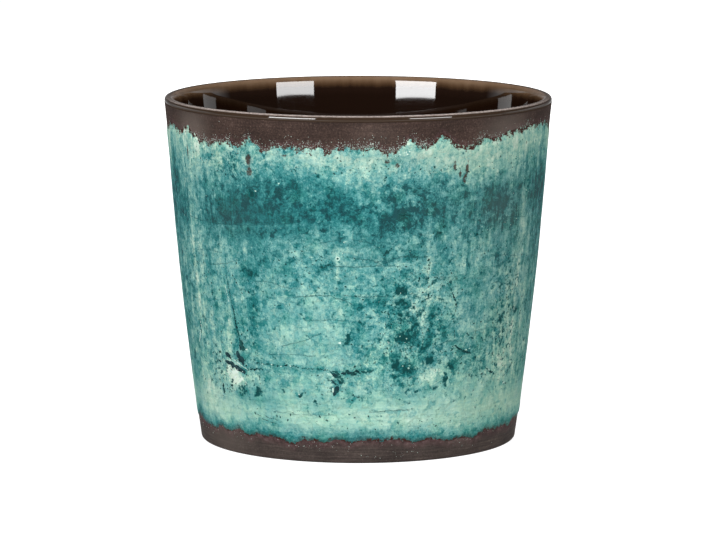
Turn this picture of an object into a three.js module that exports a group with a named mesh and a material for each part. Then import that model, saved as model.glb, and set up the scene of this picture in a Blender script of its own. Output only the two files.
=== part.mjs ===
// A glazed plant pot: a tapered stoneware shell that stands on a foot ring. It is lined with a glossy brown
// glaze and coated outside with a thick turquoise one, which runs out in ragged edges under the rim and above
// the foot. Millimetres, +Z up. The origin is the middle of the foot ring, on the ground, and the front faces -Y.

import * as THREE from "three";
import { mergeVertices } from "three/addons/utils/BufferGeometryUtils.js";

// Overall sizes
const HEIGHT = 169;
const RIM_DIAMETER = 190;
const FOOT_DIAMETER = 155;

// Outer wall: a straight taper that swells a little at mid height and flares just under the lip
const WALL_SWELL = 1.7;
const RIM_FLARE = 0.9;
const RIM_FLARE_HEIGHT = 35;

// Clay thicknesses
const LIP_THICKNESS = 5;
const WALL_AT_FLOOR = 7;
const FLOOR_THICKNESS = 6.5;
const FLOOR_FILLET = 10;

// Foot
const FOOT_RING_WIDTH = 8;
const FOOT_EDGE_ROUND = 1.2;
const RECESS_DEPTH = 2.5;
const RECESS_SLOPE_WIDTH = 3;

// Glaze coats, each a hair's breadth off the clay so that the solids stay apart
const GLAZE_CLEARANCE = 0.1;
const LINING_THICKNESS = 0.3;
const LINING_END_THICKNESS = 0.1;
const LINING_WRAP_DEG = 30;
const COAT_THICKNESS = 0.3;
const COAT_EDGE_THICKNESS = 0.1;
const COAT_EDGE_TAPER = 5;
const COAT_ROLL_THICKNESS = 0.15;
const COAT_ROLL_WIDTH = 4;

// Ragged edges of the coat: a mean level, waves all the way round, and single tongues and bays.
// A wave has a count round the pot, a height in mm and a phase in degrees. A tongue has its place in degrees
// from the front (+ to the right), its half width in degrees and its rise in mm, below zero for a bay.
const FRONT_TURN_DEG = 90;
const COAT_TOP_DROP = 15;
const COAT_BOTTOM_LEVEL = 11.3;
const TOP_WAVES = [
  { count: 11, height: 0.5, phase: 75 },
  { count: 29, height: 0.4, phase: 10 },
];
const TOP_TONGUES = [
  { at: -74, half: 13, rise: 3.4 },
  { at: -61, half: 5, rise: 3.2 },
  { at: -49.5, half: 6, rise: -2.4 },
  { at: -37.2, half: 3.4, rise: -2.8 },
  { at: -33.6, half: 3, rise: 2.0 },
  { at: -28, half: 5, rise: -2.8 },
  { at: -8.6, half: 3, rise: -2.4 },
  { at: 0, half: 5, rise: -1.9 },
  { at: 8, half: 6, rise: -2.2 },
  { at: 15.2, half: 3, rise: 3.4 },
  { at: 25, half: 4.5, rise: 4.2 },
  { at: 32.6, half: 5.5, rise: -3.0 },
  { at: 41, half: 3.5, rise: 1.6 },
  { at: 50, half: 7, rise: 2.8 },
  { at: 63, half: 17, rise: 4.0 },
  { at: 75, half: 9, rise: 2.8 },
  { at: 104, half: 8, rise: -2.0 },
  { at: 121, half: 5, rise: 3.4 },
  { at: 137, half: 9, rise: -2.4 },
  { at: 163, half: 5, rise: 3.8 },
  { at: -163, half: 9, rise: -1.8 },
  { at: -146, half: 6, rise: 3.2 },
  { at: -122, half: 8, rise: -2.2 },
  { at: -103, half: 5, rise: 3.4 },
];
const BOTTOM_WAVES = [
  { count: 9, height: 0.35, phase: 130 },
  { count: 31, height: 0.3, phase: 0 },
];
const BOTTOM_TONGUES = [
  { at: -75, half: 9, rise: 0.8 },
  { at: -57.5, half: 3.5, rise: 1.4 },
  { at: -47.5, half: 4, rise: 1.8 },
  { at: -42.5, half: 3, rise: -1.4 },
  { at: -37, half: 4, rise: 1.0 },
  { at: -23.6, half: 4, rise: -2.0 },
  { at: -12, half: 5, rise: -1.0 },
  { at: 8, half: 7, rise: 0.8 },
  { at: 20, half: 5, rise: -0.9 },
  { at: 36, half: 11, rise: -2.0 },
  { at: 45.5, half: 5, rise: -2.0 },
  { at: 53, half: 4, rise: 0.8 },
  { at: 68.5, half: 4, rise: -1.0 },
  { at: 75, half: 6, rise: 1.2 },
  { at: 124, half: 7, rise: -1.6 },
  { at: 170, half: 8, rise: 1.3 },
  { at: -141, half: 6, rise: -1.8 },
  { at: -108, half: 7, rise: 1.2 },
];

// Facets. The coat has a whole number of its own steps to each step of the clay, so that their flats line up.
const ROUND_STEPS = 64;
const COAT_STEPS_PER_FLAT = 3;
const SWELL_STEPS = 4;
const FLARE_STEPS = 2;
const LIP_QUARTER_STEPS = 3;
const FILLET_STEPS = 4;
const EDGE_STEPS = 2;
const COAT_BAND_STEPS = 4;

// Sizes that follow from the ones above
const rimRadius = RIM_DIAMETER / 2;
const footRadius = FOOT_DIAMETER / 2;
const liningDepth = GLAZE_CLEARANCE + LINING_THICKNESS;
const clayLipRadius = (LIP_THICKNESS - liningDepth) / 2;
const lipLevel = HEIGHT - liningDepth - clayLipRadius;
const lipCentre = new THREE.Vector2(rimRadius - clayLipRadius, lipLevel);
const flareLevel = lipLevel - RIM_FLARE_HEIGHT;
const floorLevel = RECESS_DEPTH + FLOOR_THICKNESS;
const wallAtLip = 2 * clayLipRadius;

// Radius of the bare outer wall at a level
function outerRadius(z) {
  const share = z / lipLevel;
  const flareShare = Math.max(0, (z - flareLevel) / RIM_FLARE_HEIGHT);
  const taper = footRadius + (rimRadius - RIM_FLARE - footRadius) * share;
  return taper + WALL_SWELL * 4 * share * (1 - share) + RIM_FLARE * flareShare ** 2;
}

// Radius of the inner clay wall at a level: the wall thickens evenly from the lip down to the floor
function innerRadius(z) {
  const down = (lipLevel - z) / (lipLevel - floorLevel);
  return outerRadius(z) - wallAtLip - (WALL_AT_FLOOR - wallAtLip) * down;
}

// Evenly spaced values from one number to another, both included
function spaced(from, to, steps) {
  return Array.from({ length: steps + 1 }, (_, i) => from + ((to - from) * i) / steps);
}

// A point at a distance and an angle in degrees from a centre
function around(centre, distance, angleDeg) {
  const angle = THREE.MathUtils.degToRad(angleDeg);
  return new THREE.Vector2(centre.x + distance * Math.cos(angle), centre.y + distance * Math.sin(angle));
}

// Points of a wall from a level up to the lip, with closer rows in the flare
function wallUp(radiusAt, fromLevel) {
  const levels = [
    ...spaced(fromLevel, flareLevel, SWELL_STEPS),
    ...spaced(flareLevel, lipLevel, FLARE_STEPS).slice(1),
  ];
  return levels.map((level) => new THREE.Vector2(radiusAt(level), level));
}

// The inside of the pot as a line from the axis to the top of the inner wall, pulled in by a depth:
// flat floor, fillet tangent to the floor and to the wall, then the wall up to the level of the lip
function insideLine(depth) {
  const floor = floorLevel + depth;
  const radiusAt = (z) => innerRadius(z) - depth;
  const fillet = FLOOR_FILLET - depth;
  const lean = Math.atan2(innerRadius(floorLevel + FLOOR_FILLET) - innerRadius(floorLevel), FLOOR_FILLET);
  const tangentLevel = floor + fillet * (1 - Math.sin(lean));
  const centre = new THREE.Vector2(radiusAt(tangentLevel) - fillet * Math.cos(lean), floor + fillet);
  const filletAngles = spaced(-90, -THREE.MathUtils.radToDeg(lean), FILLET_STEPS);
  return [
    new THREE.Vector2(0, floor),
    ...filletAngles.map((angle) => around(centre, fillet, angle)),
    ...wallUp(radiusAt, tangentLevel).slice(1),
  ];
}

// A closed lathe about +Z. The profile is a list of (radius, level) points, anticlockwise, seen with Z up.
function turned(profile) {
  const geometry = new THREE.LatheGeometry(profile, ROUND_STEPS);
  geometry.rotateX(Math.PI / 2);
  return geometry;
}

// The fired clay shell
function clayBody() {
  const ringInner = footRadius - FOOT_EDGE_ROUND - FOOT_RING_WIDTH;
  const edgeCentre = new THREE.Vector2(outerRadius(FOOT_EDGE_ROUND) - FOOT_EDGE_ROUND, FOOT_EDGE_ROUND);
  const lipAngles = spaced(0, 180, 2 * LIP_QUARTER_STEPS).slice(1);
  return turned([
    new THREE.Vector2(0, RECESS_DEPTH),
    new THREE.Vector2(ringInner - RECESS_SLOPE_WIDTH, RECESS_DEPTH),
    new THREE.Vector2(ringInner, 0),
    ...spaced(-90, 0, EDGE_STEPS).map((angle) => around(edgeCentre, FOOT_EDGE_ROUND, angle)),
    ...wallUp(outerRadius, FOOT_EDGE_ROUND).slice(1),
    ...lipAngles.map((angle) => around(lipCentre, clayLipRadius, angle)),
    ...insideLine(0).reverse().slice(1),
  ]);
}

// The lining: it follows the inside of the clay and is drawn over the lip, where it thins out past the crown
function liningGlaze() {
  const backRadius = clayLipRadius + GLAZE_CLEARANCE;
  const overLip = [
    ...spaced(180, 90, LIP_QUARTER_STEPS).slice(1),
    ...spaced(90, LINING_WRAP_DEG, LIP_QUARTER_STEPS).slice(1),
  ];
  const lipThickness = (angle) => {
    const pastCrown = Math.max(0, (90 - angle) / (90 - LINING_WRAP_DEG));
    return LINING_THICKNESS + (LINING_END_THICKNESS - LINING_THICKNESS) * pastCrown;
  };
  const back = [
    ...insideLine(GLAZE_CLEARANCE),
    ...overLip.map((angle) => around(lipCentre, backRadius, angle)),
  ];
  const face = [
    ...insideLine(liningDepth),
    ...overLip.map((angle) => around(lipCentre, backRadius + lipThickness(angle), angle)),
  ];
  return turned([...back, ...face.reverse()]);
}

// Height of a ragged edge, in mm above its mean level, at an angle from the front in degrees
function raggedRise(angleDeg, waves, tongues) {
  let rise = 0;
  for (const { count, height, phase } of waves) {
    rise += height * Math.sin(THREE.MathUtils.degToRad(count * angleDeg + phase));
  }
  for (const tongue of tongues) {
    const apart = Math.abs(THREE.MathUtils.euclideanModulo(angleDeg - tongue.at + 180, 360) - 180);
    if (apart < tongue.half) {
      rise += tongue.rise * Math.cos((apart / tongue.half) * (Math.PI / 2)) ** 2;
    }
  }
  return rise;
}

// Thickness of the coat at a level between its edges: thin at both, with a roll where it ran down and stopped
function coatThickness(level, bottom, top) {
  const inFromEdge = Math.min(top - level, level - bottom);
  const build = Math.min(1, inFromEdge / COAT_EDGE_TAPER);
  const rollPlace = (level - bottom) / COAT_ROLL_WIDTH - 1;
  const roll = Math.abs(rollPlace) < 1 ? COAT_ROLL_THICKNESS * Math.cos((rollPlace * Math.PI) / 2) : 0;
  return COAT_EDGE_THICKNESS + (COAT_THICKNESS - COAT_EDGE_THICKNESS) * build + roll;
}

// Levels of the coat's rows, from its lower edge to its upper one: close together at the two thin edges
function coatLevels(bottom, top) {
  const rollTop = bottom + 2 * COAT_ROLL_WIDTH;
  const taperStart = top - COAT_EDGE_TAPER;
  return [bottom, bottom + COAT_ROLL_WIDTH, ...spaced(rollTop, taperStart, COAT_BAND_STEPS), top];
}

// The turquoise coat: a thin closed ring of rows up its face and down its back, whose two ends follow the
// ragged edges round the pot
function turquoiseGlaze() {
  const steps = ROUND_STEPS * COAT_STEPS_PER_FLAT;
  const positions = [];
  for (let i = 0; i < steps; i++) {
    const turn = (i * 2 * Math.PI) / steps;
    const fromFront = THREE.MathUtils.radToDeg(turn) + FRONT_TURN_DEG;
    const top = HEIGHT - COAT_TOP_DROP + raggedRise(fromFront, TOP_WAVES, TOP_TONGUES);
    const bottom = COAT_BOTTOM_LEVEL + raggedRise(fromFront, BOTTOM_WAVES, BOTTOM_TONGUES);
    const levels = coatLevels(bottom, top);
    const back = levels.map((level) => new THREE.Vector2(outerRadius(level) + GLAZE_CLEARANCE, level));
    const face = back.map(({ x, y }) => new THREE.Vector2(x + coatThickness(y, bottom, top), y));
    for (const { x, y } of [...face, ...back.reverse()]) {
      positions.push(x * Math.cos(turn), x * Math.sin(turn), y);
    }
  }
  const pointsRound = positions.length / 3 / steps;
  const triangles = [];
  for (let i = 0; i < steps; i++) {
    const here = i * pointsRound;
    const next = ((i + 1) % steps) * pointsRound;
    for (let j = 0; j < pointsRound; j++) {
      const after = (j + 1) % pointsRound;
      triangles.push(here + j, next + j, next + after);
      triangles.push(here + j, next + after, here + after);
    }
  }
  const geometry = new THREE.BufferGeometry();
  geometry.setAttribute("position", new THREE.Float32BufferAttribute(positions, 3));
  geometry.setIndex(triangles);
  geometry.computeVertexNormals();
  return geometry;
}

const firedClay = new THREE.MeshStandardMaterial({ color: 0x54403d, roughness: 0.55, metalness: 0 });
const brownGlaze = new THREE.MeshStandardMaterial({ color: 0x2e2013, roughness: 0.1, metalness: 0 });
const turquoise = new THREE.MeshStandardMaterial({ color: 0x5fa39d, roughness: 0.45, metalness: 0 });

const pot = new THREE.Group();
pot.name = "glazed_plant_pot";
for (const [name, geometry, material] of [
  ["clay_body", clayBody(), firedClay],
  ["lining_glaze", liningGlaze(), brownGlaze],
  ["turquoise_glaze", turquoiseGlaze(), turquoise],
]) {
  const mesh = new THREE.Mesh(mergeVertices(geometry), material);
  mesh.name = name;
  pot.add(mesh);
}

export default pot;
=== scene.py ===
# %% [markdown]
# # A glazed plant pot
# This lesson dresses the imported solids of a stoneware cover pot: a tapered clay shell, a glossy brown
# lining and a thick turquoise coat that runs out in ragged edges. The solids give the size and the place of
# everything. Each of them is replaced here by a finer mesh of the same form, because a fired glaze lives
# from relief that is much smaller than a facet. Lengths below are in millimetres, and turn into Blender's
# metres where a mesh is made.

import bpy
import numpy as np
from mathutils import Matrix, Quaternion, Vector


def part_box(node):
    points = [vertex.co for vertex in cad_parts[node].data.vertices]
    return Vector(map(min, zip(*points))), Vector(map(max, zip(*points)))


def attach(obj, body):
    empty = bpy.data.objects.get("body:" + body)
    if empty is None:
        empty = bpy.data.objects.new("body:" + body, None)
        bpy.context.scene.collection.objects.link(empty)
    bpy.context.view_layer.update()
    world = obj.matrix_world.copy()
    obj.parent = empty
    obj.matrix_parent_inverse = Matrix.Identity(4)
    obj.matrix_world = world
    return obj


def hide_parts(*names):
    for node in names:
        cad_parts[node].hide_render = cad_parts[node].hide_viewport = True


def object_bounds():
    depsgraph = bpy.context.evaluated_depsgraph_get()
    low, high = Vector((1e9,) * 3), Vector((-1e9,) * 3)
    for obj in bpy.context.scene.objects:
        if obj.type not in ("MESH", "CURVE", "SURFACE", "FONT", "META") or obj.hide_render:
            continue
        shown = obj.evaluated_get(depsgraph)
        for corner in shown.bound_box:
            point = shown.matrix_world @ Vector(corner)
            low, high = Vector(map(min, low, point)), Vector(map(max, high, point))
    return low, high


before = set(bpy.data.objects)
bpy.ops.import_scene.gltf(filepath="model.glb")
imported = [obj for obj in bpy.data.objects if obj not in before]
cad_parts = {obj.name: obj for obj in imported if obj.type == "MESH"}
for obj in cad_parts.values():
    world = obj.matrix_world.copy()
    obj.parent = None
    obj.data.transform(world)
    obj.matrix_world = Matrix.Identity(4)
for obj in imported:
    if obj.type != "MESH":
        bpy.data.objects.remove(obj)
cad_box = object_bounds()
METRE = 1000.0
print("nodes:", sorted(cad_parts), "box:", [tuple(round(v, 4) for v in corner) for corner in cad_box])

# %% [markdown]
# ## The form of the wall
# A jiggered pot is a body of revolution, so its whole shape is a few curves of radius against height. The
# outer wall tapers, swells a little at mid height and flares under the lip, and the inner wall follows it
# and thickens towards the floor. They are written as formulas, so every mesh below can ask for the wall at
# any height.

# %% Sizes of the pot
HEIGHT = cad_box[1].z * METRE
RIM_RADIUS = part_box("clay_body")[1].x * METRE
FOOT_RADIUS = 77.5
WALL_SWELL = 1.7
RIM_FLARE = 0.9
RIM_FLARE_HEIGHT = 35.0
LIP_THICKNESS = 5.0
WALL_AT_FLOOR = 7.0
FLOOR_LEVEL = 9.0
FLOOR_FILLET = 10.0
FOOT_RING_WIDTH = 8.0
FOOT_EDGE_ROUND = 1.2
RECESS_DEPTH = 2.5
RECESS_SLOPE_WIDTH = 3.0
LINING_DEPTH = 0.4
CLAY_LIP_RADIUS = (LIP_THICKNESS - LINING_DEPTH) / 2
LIP_LEVEL = HEIGHT - LINING_DEPTH - CLAY_LIP_RADIUS
LIP_CENTRE = RIM_RADIUS - CLAY_LIP_RADIUS
MEAN_RADIUS = (RIM_RADIUS + FOOT_RADIUS) / 2


def outer_radius(level):
    """Radius of the bare outer wall at a height."""
    share = level / LIP_LEVEL
    flare = np.maximum(0, (level - LIP_LEVEL + RIM_FLARE_HEIGHT) / RIM_FLARE_HEIGHT)
    taper = FOOT_RADIUS + (RIM_RADIUS - RIM_FLARE - FOOT_RADIUS) * share
    return taper + WALL_SWELL * 4 * share * (1 - share) + RIM_FLARE * flare**2


def inner_radius(level):
    """Radius of the inner clay wall at a height."""
    down = (LIP_LEVEL - level) / (LIP_LEVEL - FLOOR_LEVEL)
    return outer_radius(level) - 2 * CLAY_LIP_RADIUS - (WALL_AT_FLOOR - 2 * CLAY_LIP_RADIUS) * down


for place, height in (("foot", 0.0), ("middle", HEIGHT / 2), ("lip", LIP_LEVEL)):
    print("wall radius at the", place, round(float(outer_radius(height)), 2), "mm")

# %% [markdown]
# ## Random hills that join up
# Fired glaze and turned clay are uneven at every scale. Blender's noise textures do this in a material, but
# a mesh needs the numbers themselves. A grid of seeded random heights, smoothed in between, is enough. It
# is laid over the unrolled wall, and its columns wrap round, so that there is no seam behind the pot.

# %% Noise and easing
def eased(value, low, high):
    """0 below low, 1 above high and a smooth rise between them."""
    share = np.clip((value - low) / (high - low), 0, 1)
    return share * share * (3 - 2 * share)


def wall_noise(angle, level, across, up, seed):
    """Smooth random values from -1 to 1 on the wall, with hills of the given width and height in mm."""
    columns = max(3, round(2 * np.pi * MEAN_RADIUS / across))
    rows = int(HEIGHT / up) + 4
    hills = np.random.default_rng(seed).uniform(-1, 1, (rows, columns))
    x = (np.asarray(angle) / 360.0 % 1.0) * columns
    y = np.asarray(level) / up + 1
    column, row = np.floor(x).astype(int), np.floor(y).astype(int)
    right, above = eased(x - column, 0, 1), eased(y - row, 0, 1)
    low = hills[row, column % columns] * (1 - right) + hills[row, (column + 1) % columns] * right
    high = hills[row + 1, column % columns] * (1 - right) + hills[row + 1, (column + 1) % columns] * right
    return low * (1 - above) + high * above


def layered_noise(angle, level, across, up, seed, layers=4, fade=0.6):
    """Several sizes of hills on top of each other, each half as wide as the one before."""
    total = 0.0
    for layer in range(layers):
        total = total + fade**layer * wall_noise(angle, level, across / 2**layer, up / 2**layer, seed + layer)
    return total


def apart_degrees(angle, centre):
    """Signed angle from a centre, the short way round."""
    return (np.asarray(angle) - centre + 180) % 360 - 180


print("noise sample:", np.round(wall_noise(np.array([0.0, 90.0, 359.9]), 50.0, 8, 8, 1), 3))

# %% [markdown]
# ## Turning rings of points into a mesh
# Every piece of the pot is a set of rings, one above the other. A grid of radii and a grid of heights, rows
# by steps round the pot, says where each point is. The functions below join them with quads, close the
# ring, and lay the faces out flat in a map that a later bake can use. A lathe piece is a profile turned
# round the axis. It starts and ends with a tiny ring there, which a cap closes.

# %% Ring meshes
def fired_object(name, points, faces, places):
    """A smooth mesh object from points in mm, faces and a flat place for each face corner."""
    mesh = bpy.data.meshes.new(name)
    mesh.from_pydata((np.asarray(points) / METRE).tolist(), [], faces)
    layer = mesh.uv_layers.new(name="OFBake")
    layer.data.foreach_set("uv", np.asarray(places, dtype=np.float32).ravel())
    mesh.polygons.foreach_set("use_smooth", [True] * len(mesh.polygons))
    made = bpy.data.objects.new(name, mesh)
    bpy.context.scene.collection.objects.link(made)
    return made


def ring_angles(steps):
    """Angles round the pot in degrees, from the front and growing to the right, starting behind it."""
    return -180 + 360 * np.arange(steps) / steps


def ring_quads(rows, steps, closed):
    """Corner numbers of the quads between the rings. A closed set also joins its last ring to its first."""
    below = np.arange(rows if closed else rows - 1)
    step = np.arange(steps)
    a = below[:, None] * steps + step
    b = below[:, None] * steps + (step + 1) % steps
    above = ((below + 1) % rows)[:, None] * steps
    return np.stack([a, b, above + (step + 1) % steps, above + step], -1).reshape(-1, 4)


def wall_points(radius, level):
    """Points of rings in mm. The front of the pot faces -Y, and angles grow towards +X."""
    turn = np.radians(ring_angles(radius.shape[1]))
    return np.stack([radius * np.sin(turn), -radius * np.cos(turn), level], -1).reshape(-1, 3)


print("quads in a strip of 3 rings of 4:", len(ring_quads(3, 4, False)))

# %% Lathe pieces
# A profile starts and ends so many millimetres from the axis.
POLE = 0.6
# On the flat map the wall takes the lower part, and the two end caps are small discs above it.
WALL_PLACE_HEIGHT = 0.97
CAP_PLACES = [(0.05, 0.985), (0.15, 0.985)]
CAP_PLACE_RADIUS = 0.01


def turned_piece(name, profile, steps, relief=None):
    """A lathe piece from (radius, height) points, closed at both ends. relief is added to the radius."""
    profile = np.asarray(profile)
    radius = np.repeat(profile[:, :1], steps, 1)
    level = np.repeat(profile[:, 1:], steps, 1)
    if relief is not None:
        radius = radius + relief(ring_angles(steps)[None, :], level, radius)
    rows = len(profile)
    quads = ring_quads(rows, steps, closed=False)
    run = np.concatenate([[0], np.cumsum(np.hypot(*np.diff(profile, axis=0).T))])
    row, step = np.divmod(np.arange((rows - 1) * steps), steps)
    u = np.stack([step, step + 1, step + 1, step], -1) / steps
    v = np.stack([run[row], run[row], run[row + 1], run[row + 1]], -1) / run[-1]
    ring = np.arange(steps)
    caps = [ring[::-1].tolist(), (ring + (rows - 1) * steps).tolist()]
    turn = 2 * np.pi * ring / steps
    disc = CAP_PLACE_RADIUS * np.stack([np.cos(turn), np.sin(turn)], -1)
    strip = np.stack([u, WALL_PLACE_HEIGHT * v], -1).reshape(-1, 2)
    places = np.concatenate([strip, disc[::-1] + CAP_PLACES[0], disc + CAP_PLACES[1]])
    made = fired_object(name, wall_points(radius, level), quads.tolist() + caps, places)
    return made, np.repeat(ring_angles(steps)[None, :], rows, 0).ravel(), level.ravel()


def spaced_arc(centre, radius, start, end, steps):
    """Points of an arc, angles in degrees, first point left out."""
    angle = np.radians(np.linspace(start, end, steps + 1)[1:])
    return [(centre[0] + radius * np.cos(a), centre[1] + radius * np.sin(a)) for a in angle]


def inside_line(depth, fillet_steps, wall_step):
    """The inside from the floor's middle to the top of the inner wall, pulled in by a depth."""
    floor = FLOOR_LEVEL + depth
    fillet = FLOOR_FILLET - depth
    lean = np.arctan2(inner_radius(FLOOR_LEVEL + FLOOR_FILLET) - inner_radius(FLOOR_LEVEL), FLOOR_FILLET)
    tangent = floor + fillet * (1 - np.sin(lean))
    centre = (inner_radius(tangent) - depth - fillet * np.cos(lean), floor + fillet)
    levels = np.arange(tangent, LIP_LEVEL, wall_step)[1:]
    return [
        *[(r, floor) for r in np.linspace(POLE, centre[0], 14)],
        *spaced_arc(centre, fillet, -90, -np.degrees(lean), fillet_steps),
        *[(inner_radius(z) - depth, z) for z in levels],
        (inner_radius(LIP_LEVEL) - depth, LIP_LEVEL),
    ]


print("the inside has", len(inside_line(0.0, 6, 12.0)), "rings")

# %% [markdown]
# ## Where the coat ends
# The turquoise coat was poured or sprayed between two lines, and it crept unevenly in the kiln. Its edges
# are a mean height, a few waves all the way round, and single tongues and bays. Nearly the same numbers
# shape the solid. Five small tongues and the finer teeth of a few millimetres are only here.

# %% Ragged edges of the coat
COAT_TOP_DROP = 15.0
COAT_BOTTOM_LEVEL = 11.3
# Each wave is (count round the pot, height, phase in degrees), each tongue (angle, half width in degrees,
# height) and each row of teeth (width, height).
TOP_WAVES = [(11, 0.5, 75), (29, 0.4, 10)]
TOP_TONGUES = [
    (-74, 13, 3.4), (-61, 5, 3.2), (-49.5, 6, -2.4), (-37.2, 3.4, -2.8), (-33.6, 3, 2), (-28, 5, -2.8),
    (-8.6, 3, -2.4), (0, 5, -1.9), (8, 6, -2.2), (15.2, 3, 3.4), (25, 4.5, 4.2), (32.6, 5.5, -3),
    (41, 3.5, 1.6), (50, 7, 2.8), (63, 17, 4), (75, 9, 2.8), (104, 8, -2), (121, 5, 3.4), (137, 9, -2.4),
    (163, 5, 3.8), (-163, 9, -1.8), (-146, 6, 3.2), (-122, 8, -2.2), (-103, 5, 3.4), (-24, 34, -0.8),
    (3, 10, -0.5), (55, 6, 1), (-71, 4, -1.2), (36, 3, -0.9),
]
BOTTOM_WAVES = [(9, 0.35, 130), (31, 0.3, 0)]
BOTTOM_TONGUES = [
    (-75, 9, 0.8), (-57.5, 3.5, 1.4), (-47.5, 4, 1.8), (-42.5, 3, -1.4), (-37, 4, 1), (-23.6, 4, -2),
    (-12, 5, -1), (8, 7, 0.8), (20, 5, -0.9), (36, 11, -2), (45.5, 5, -2), (53, 4, 0.8), (68.5, 4, -1),
    (75, 6, 1.2), (124, 7, -1.6), (170, 8, 1.3), (-141, 6, -1.8), (-108, 7, 1.2),
]
TOP_TEETH = [(3, 0.8), (1.5, 0.6)]
BOTTOM_TEETH = [(4, 0.5), (1.8, 0.35)]
# The coat goes on as a thin film past its edge, and its lower edge is so many times smoother.
EDGE_FILM = 1.4
LOWER_SMOOTHNESS = 2.5


def ragged_edge(angle, mean, waves, tongues, teeth, seed):
    """Height of an edge of the coat at an angle from the front."""
    rise = np.full(np.shape(angle), mean, float)
    for count, height, phase in waves:
        rise += height * np.sin(np.radians(count * angle + phase))
    for centre, half, height in tongues:
        apart = np.abs(apart_degrees(angle, centre)) / half
        rise += np.where(apart < 1, height * np.cos(np.minimum(apart, 1) * np.pi / 2) ** 2, 0)
    for number, (width, height) in enumerate(teeth):
        rise += height * wall_noise(angle, 0.0, across=width, up=40, seed=seed + number)
    return rise


def coat_top(angle):
    """Height of the upper edge."""
    return ragged_edge(angle, HEIGHT - COAT_TOP_DROP, TOP_WAVES, TOP_TONGUES, TOP_TEETH, seed=101)


def coat_bottom(angle):
    """Height of the lower edge."""
    return ragged_edge(angle, COAT_BOTTOM_LEVEL, BOTTOM_WAVES, BOTTOM_TONGUES, BOTTOM_TEETH, seed=201)


def edge_distance(angle, level):
    """Distance in mm from the ends of the coat's film. It counts more at the smoother lower edge."""
    from_top = coat_top(angle) + EDGE_FILM - level
    return np.minimum(from_top, (level - coat_bottom(angle)) * LOWER_SMOOTHNESS + EDGE_FILM)


spread = coat_top(ring_angles(720))
print("upper edge from", round(float(spread.min()), 1), "to", round(float(spread.max()), 1), "mm")

# %% [markdown]
# ## The clay body
# The shell is dark stoneware. It shows bare in a band under the rim, in a band above the foot and
# underneath, where the tool left fine turning lines. The lines are real ridges here, a few hundredths of a
# millimetre high, because they catch the light along the band. Rows are close together only where the clay
# shows.

# %% Model the clay body
TURNING_PITCH = 0.75
TURNING_HEIGHT = 0.025
TURNING_WANDER = 0.6
SLOW_WAVE = 0.05
UNDERSIDE_PITCH = 2.6
UNDERSIDE_HEIGHT = 0.04
BARE_ROW = 0.25
HIDDEN_ROW = 12.0
CLAY_STEPS = 300
FOOT_BAND_TOP = 17.0
RIM_BAND_BOTTOM = 145.0


def turning_lines(angle, level, radius):
    """Fine ridges on the bare bands that fade in and out round the pot."""
    wander = TURNING_WANDER * wall_noise(angle, level, across=60, up=6, seed=31)
    ridge = np.sin(2 * np.pi * (level + wander) / TURNING_PITCH)
    strength = 0.55 + 0.45 * wall_noise(angle, level, across=45, up=2.5, seed=32)
    outside = radius > inner_radius(np.clip(level, FLOOR_LEVEL, LIP_LEVEL)) + CLAY_LIP_RADIUS
    shown = eased(level, 0.5, 2) * (1 - eased(level, LIP_LEVEL - 1.5, LIP_LEVEL))
    slow = SLOW_WAVE * wall_noise(angle, level, across=40, up=12, seed=33) * shown
    return np.where(outside, TURNING_HEIGHT * ridge * strength * shown + slow, 0)


def clay_profile():
    """The shell's outline, from the middle of the underside round the lip to the middle of the floor."""
    ring_inner = FOOT_RADIUS - FOOT_EDGE_ROUND - FOOT_RING_WIDTH
    edge_centre = (outer_radius(FOOT_EDGE_ROUND) - FOOT_EDGE_ROUND, FOOT_EDGE_ROUND)
    foot_band = np.arange(FOOT_EDGE_ROUND, FOOT_BAND_TOP, BARE_ROW)[1:]
    hidden = np.arange(FOOT_BAND_TOP, RIM_BAND_BOTTOM, HIDDEN_ROW)
    rim_band = np.arange(RIM_BAND_BOTTOM, LIP_LEVEL, BARE_ROW)
    under = np.linspace(POLE, ring_inner - RECESS_SLOPE_WIDTH - 1.5, 60)
    ripple = UNDERSIDE_HEIGHT * np.sin(2 * np.pi * under / UNDERSIDE_PITCH) * eased(under, 0, 8)
    slope = np.linspace(0, 1, 13)
    return [
        *zip(under, RECESS_DEPTH + ripple),
        *zip(ring_inner - RECESS_SLOPE_WIDTH * (1 - slope), RECESS_DEPTH * (1 - eased(slope, 0, 1))),
        *[(r, 0) for r in np.linspace(ring_inner + 0.4, edge_centre[0], 10)],
        *spaced_arc(edge_centre, FOOT_EDGE_ROUND, -90, 0, 6),
        *[(outer_radius(z), z) for z in np.concatenate([foot_band, hidden, rim_band])],
        *spaced_arc((LIP_CENTRE, LIP_LEVEL), CLAY_LIP_RADIUS, 0, 180, 18),
        *inside_line(0.0, 6, HIDDEN_ROW)[::-1][1:],
    ]


clay_shell, clay_angle, clay_level = turned_piece("clay_shell", clay_profile(), CLAY_STEPS, turning_lines)
print("clay shell:", len(clay_shell.data.polygons), "faces")

# %% [markdown]
# ## The lining
# The inside was filled with a runny brown glaze and emptied again. It lies as a glassy skin on the wall and
# the floor, flows into the lip in one curve and is drawn over it, where it thins. The outer shoulder of the
# lip is a little squarer than a half circle. A slow ripple of a few hundredths of a millimetre is enough to
# make reflections waver as they do in real glaze.

# %% Model the lining
LINING_STEPS = 300
LINING_ROW = 1.6
LINING_WRAP = -6.0
LINING_LEAN = 10.0
LINING_RIPPLE = 0.014
LIP_SQUARENESS = 4.0
# The back of the skin lies so far inside the clay that no gap can show.
LINING_BITE = 0.02


def lining_ripple(angle, level, radius):
    """The slow waver of a glaze that ran down the wall."""
    inside = radius < RIM_RADIUS - 1.2
    low = eased(level, FLOOR_LEVEL + 12, FLOOR_LEVEL + 30)
    waver = layered_noise(angle, level, across=22, up=40, seed=41, layers=3, fade=0.5)
    return np.where(inside, LINING_RIPPLE * low * waver, 0)


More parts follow.
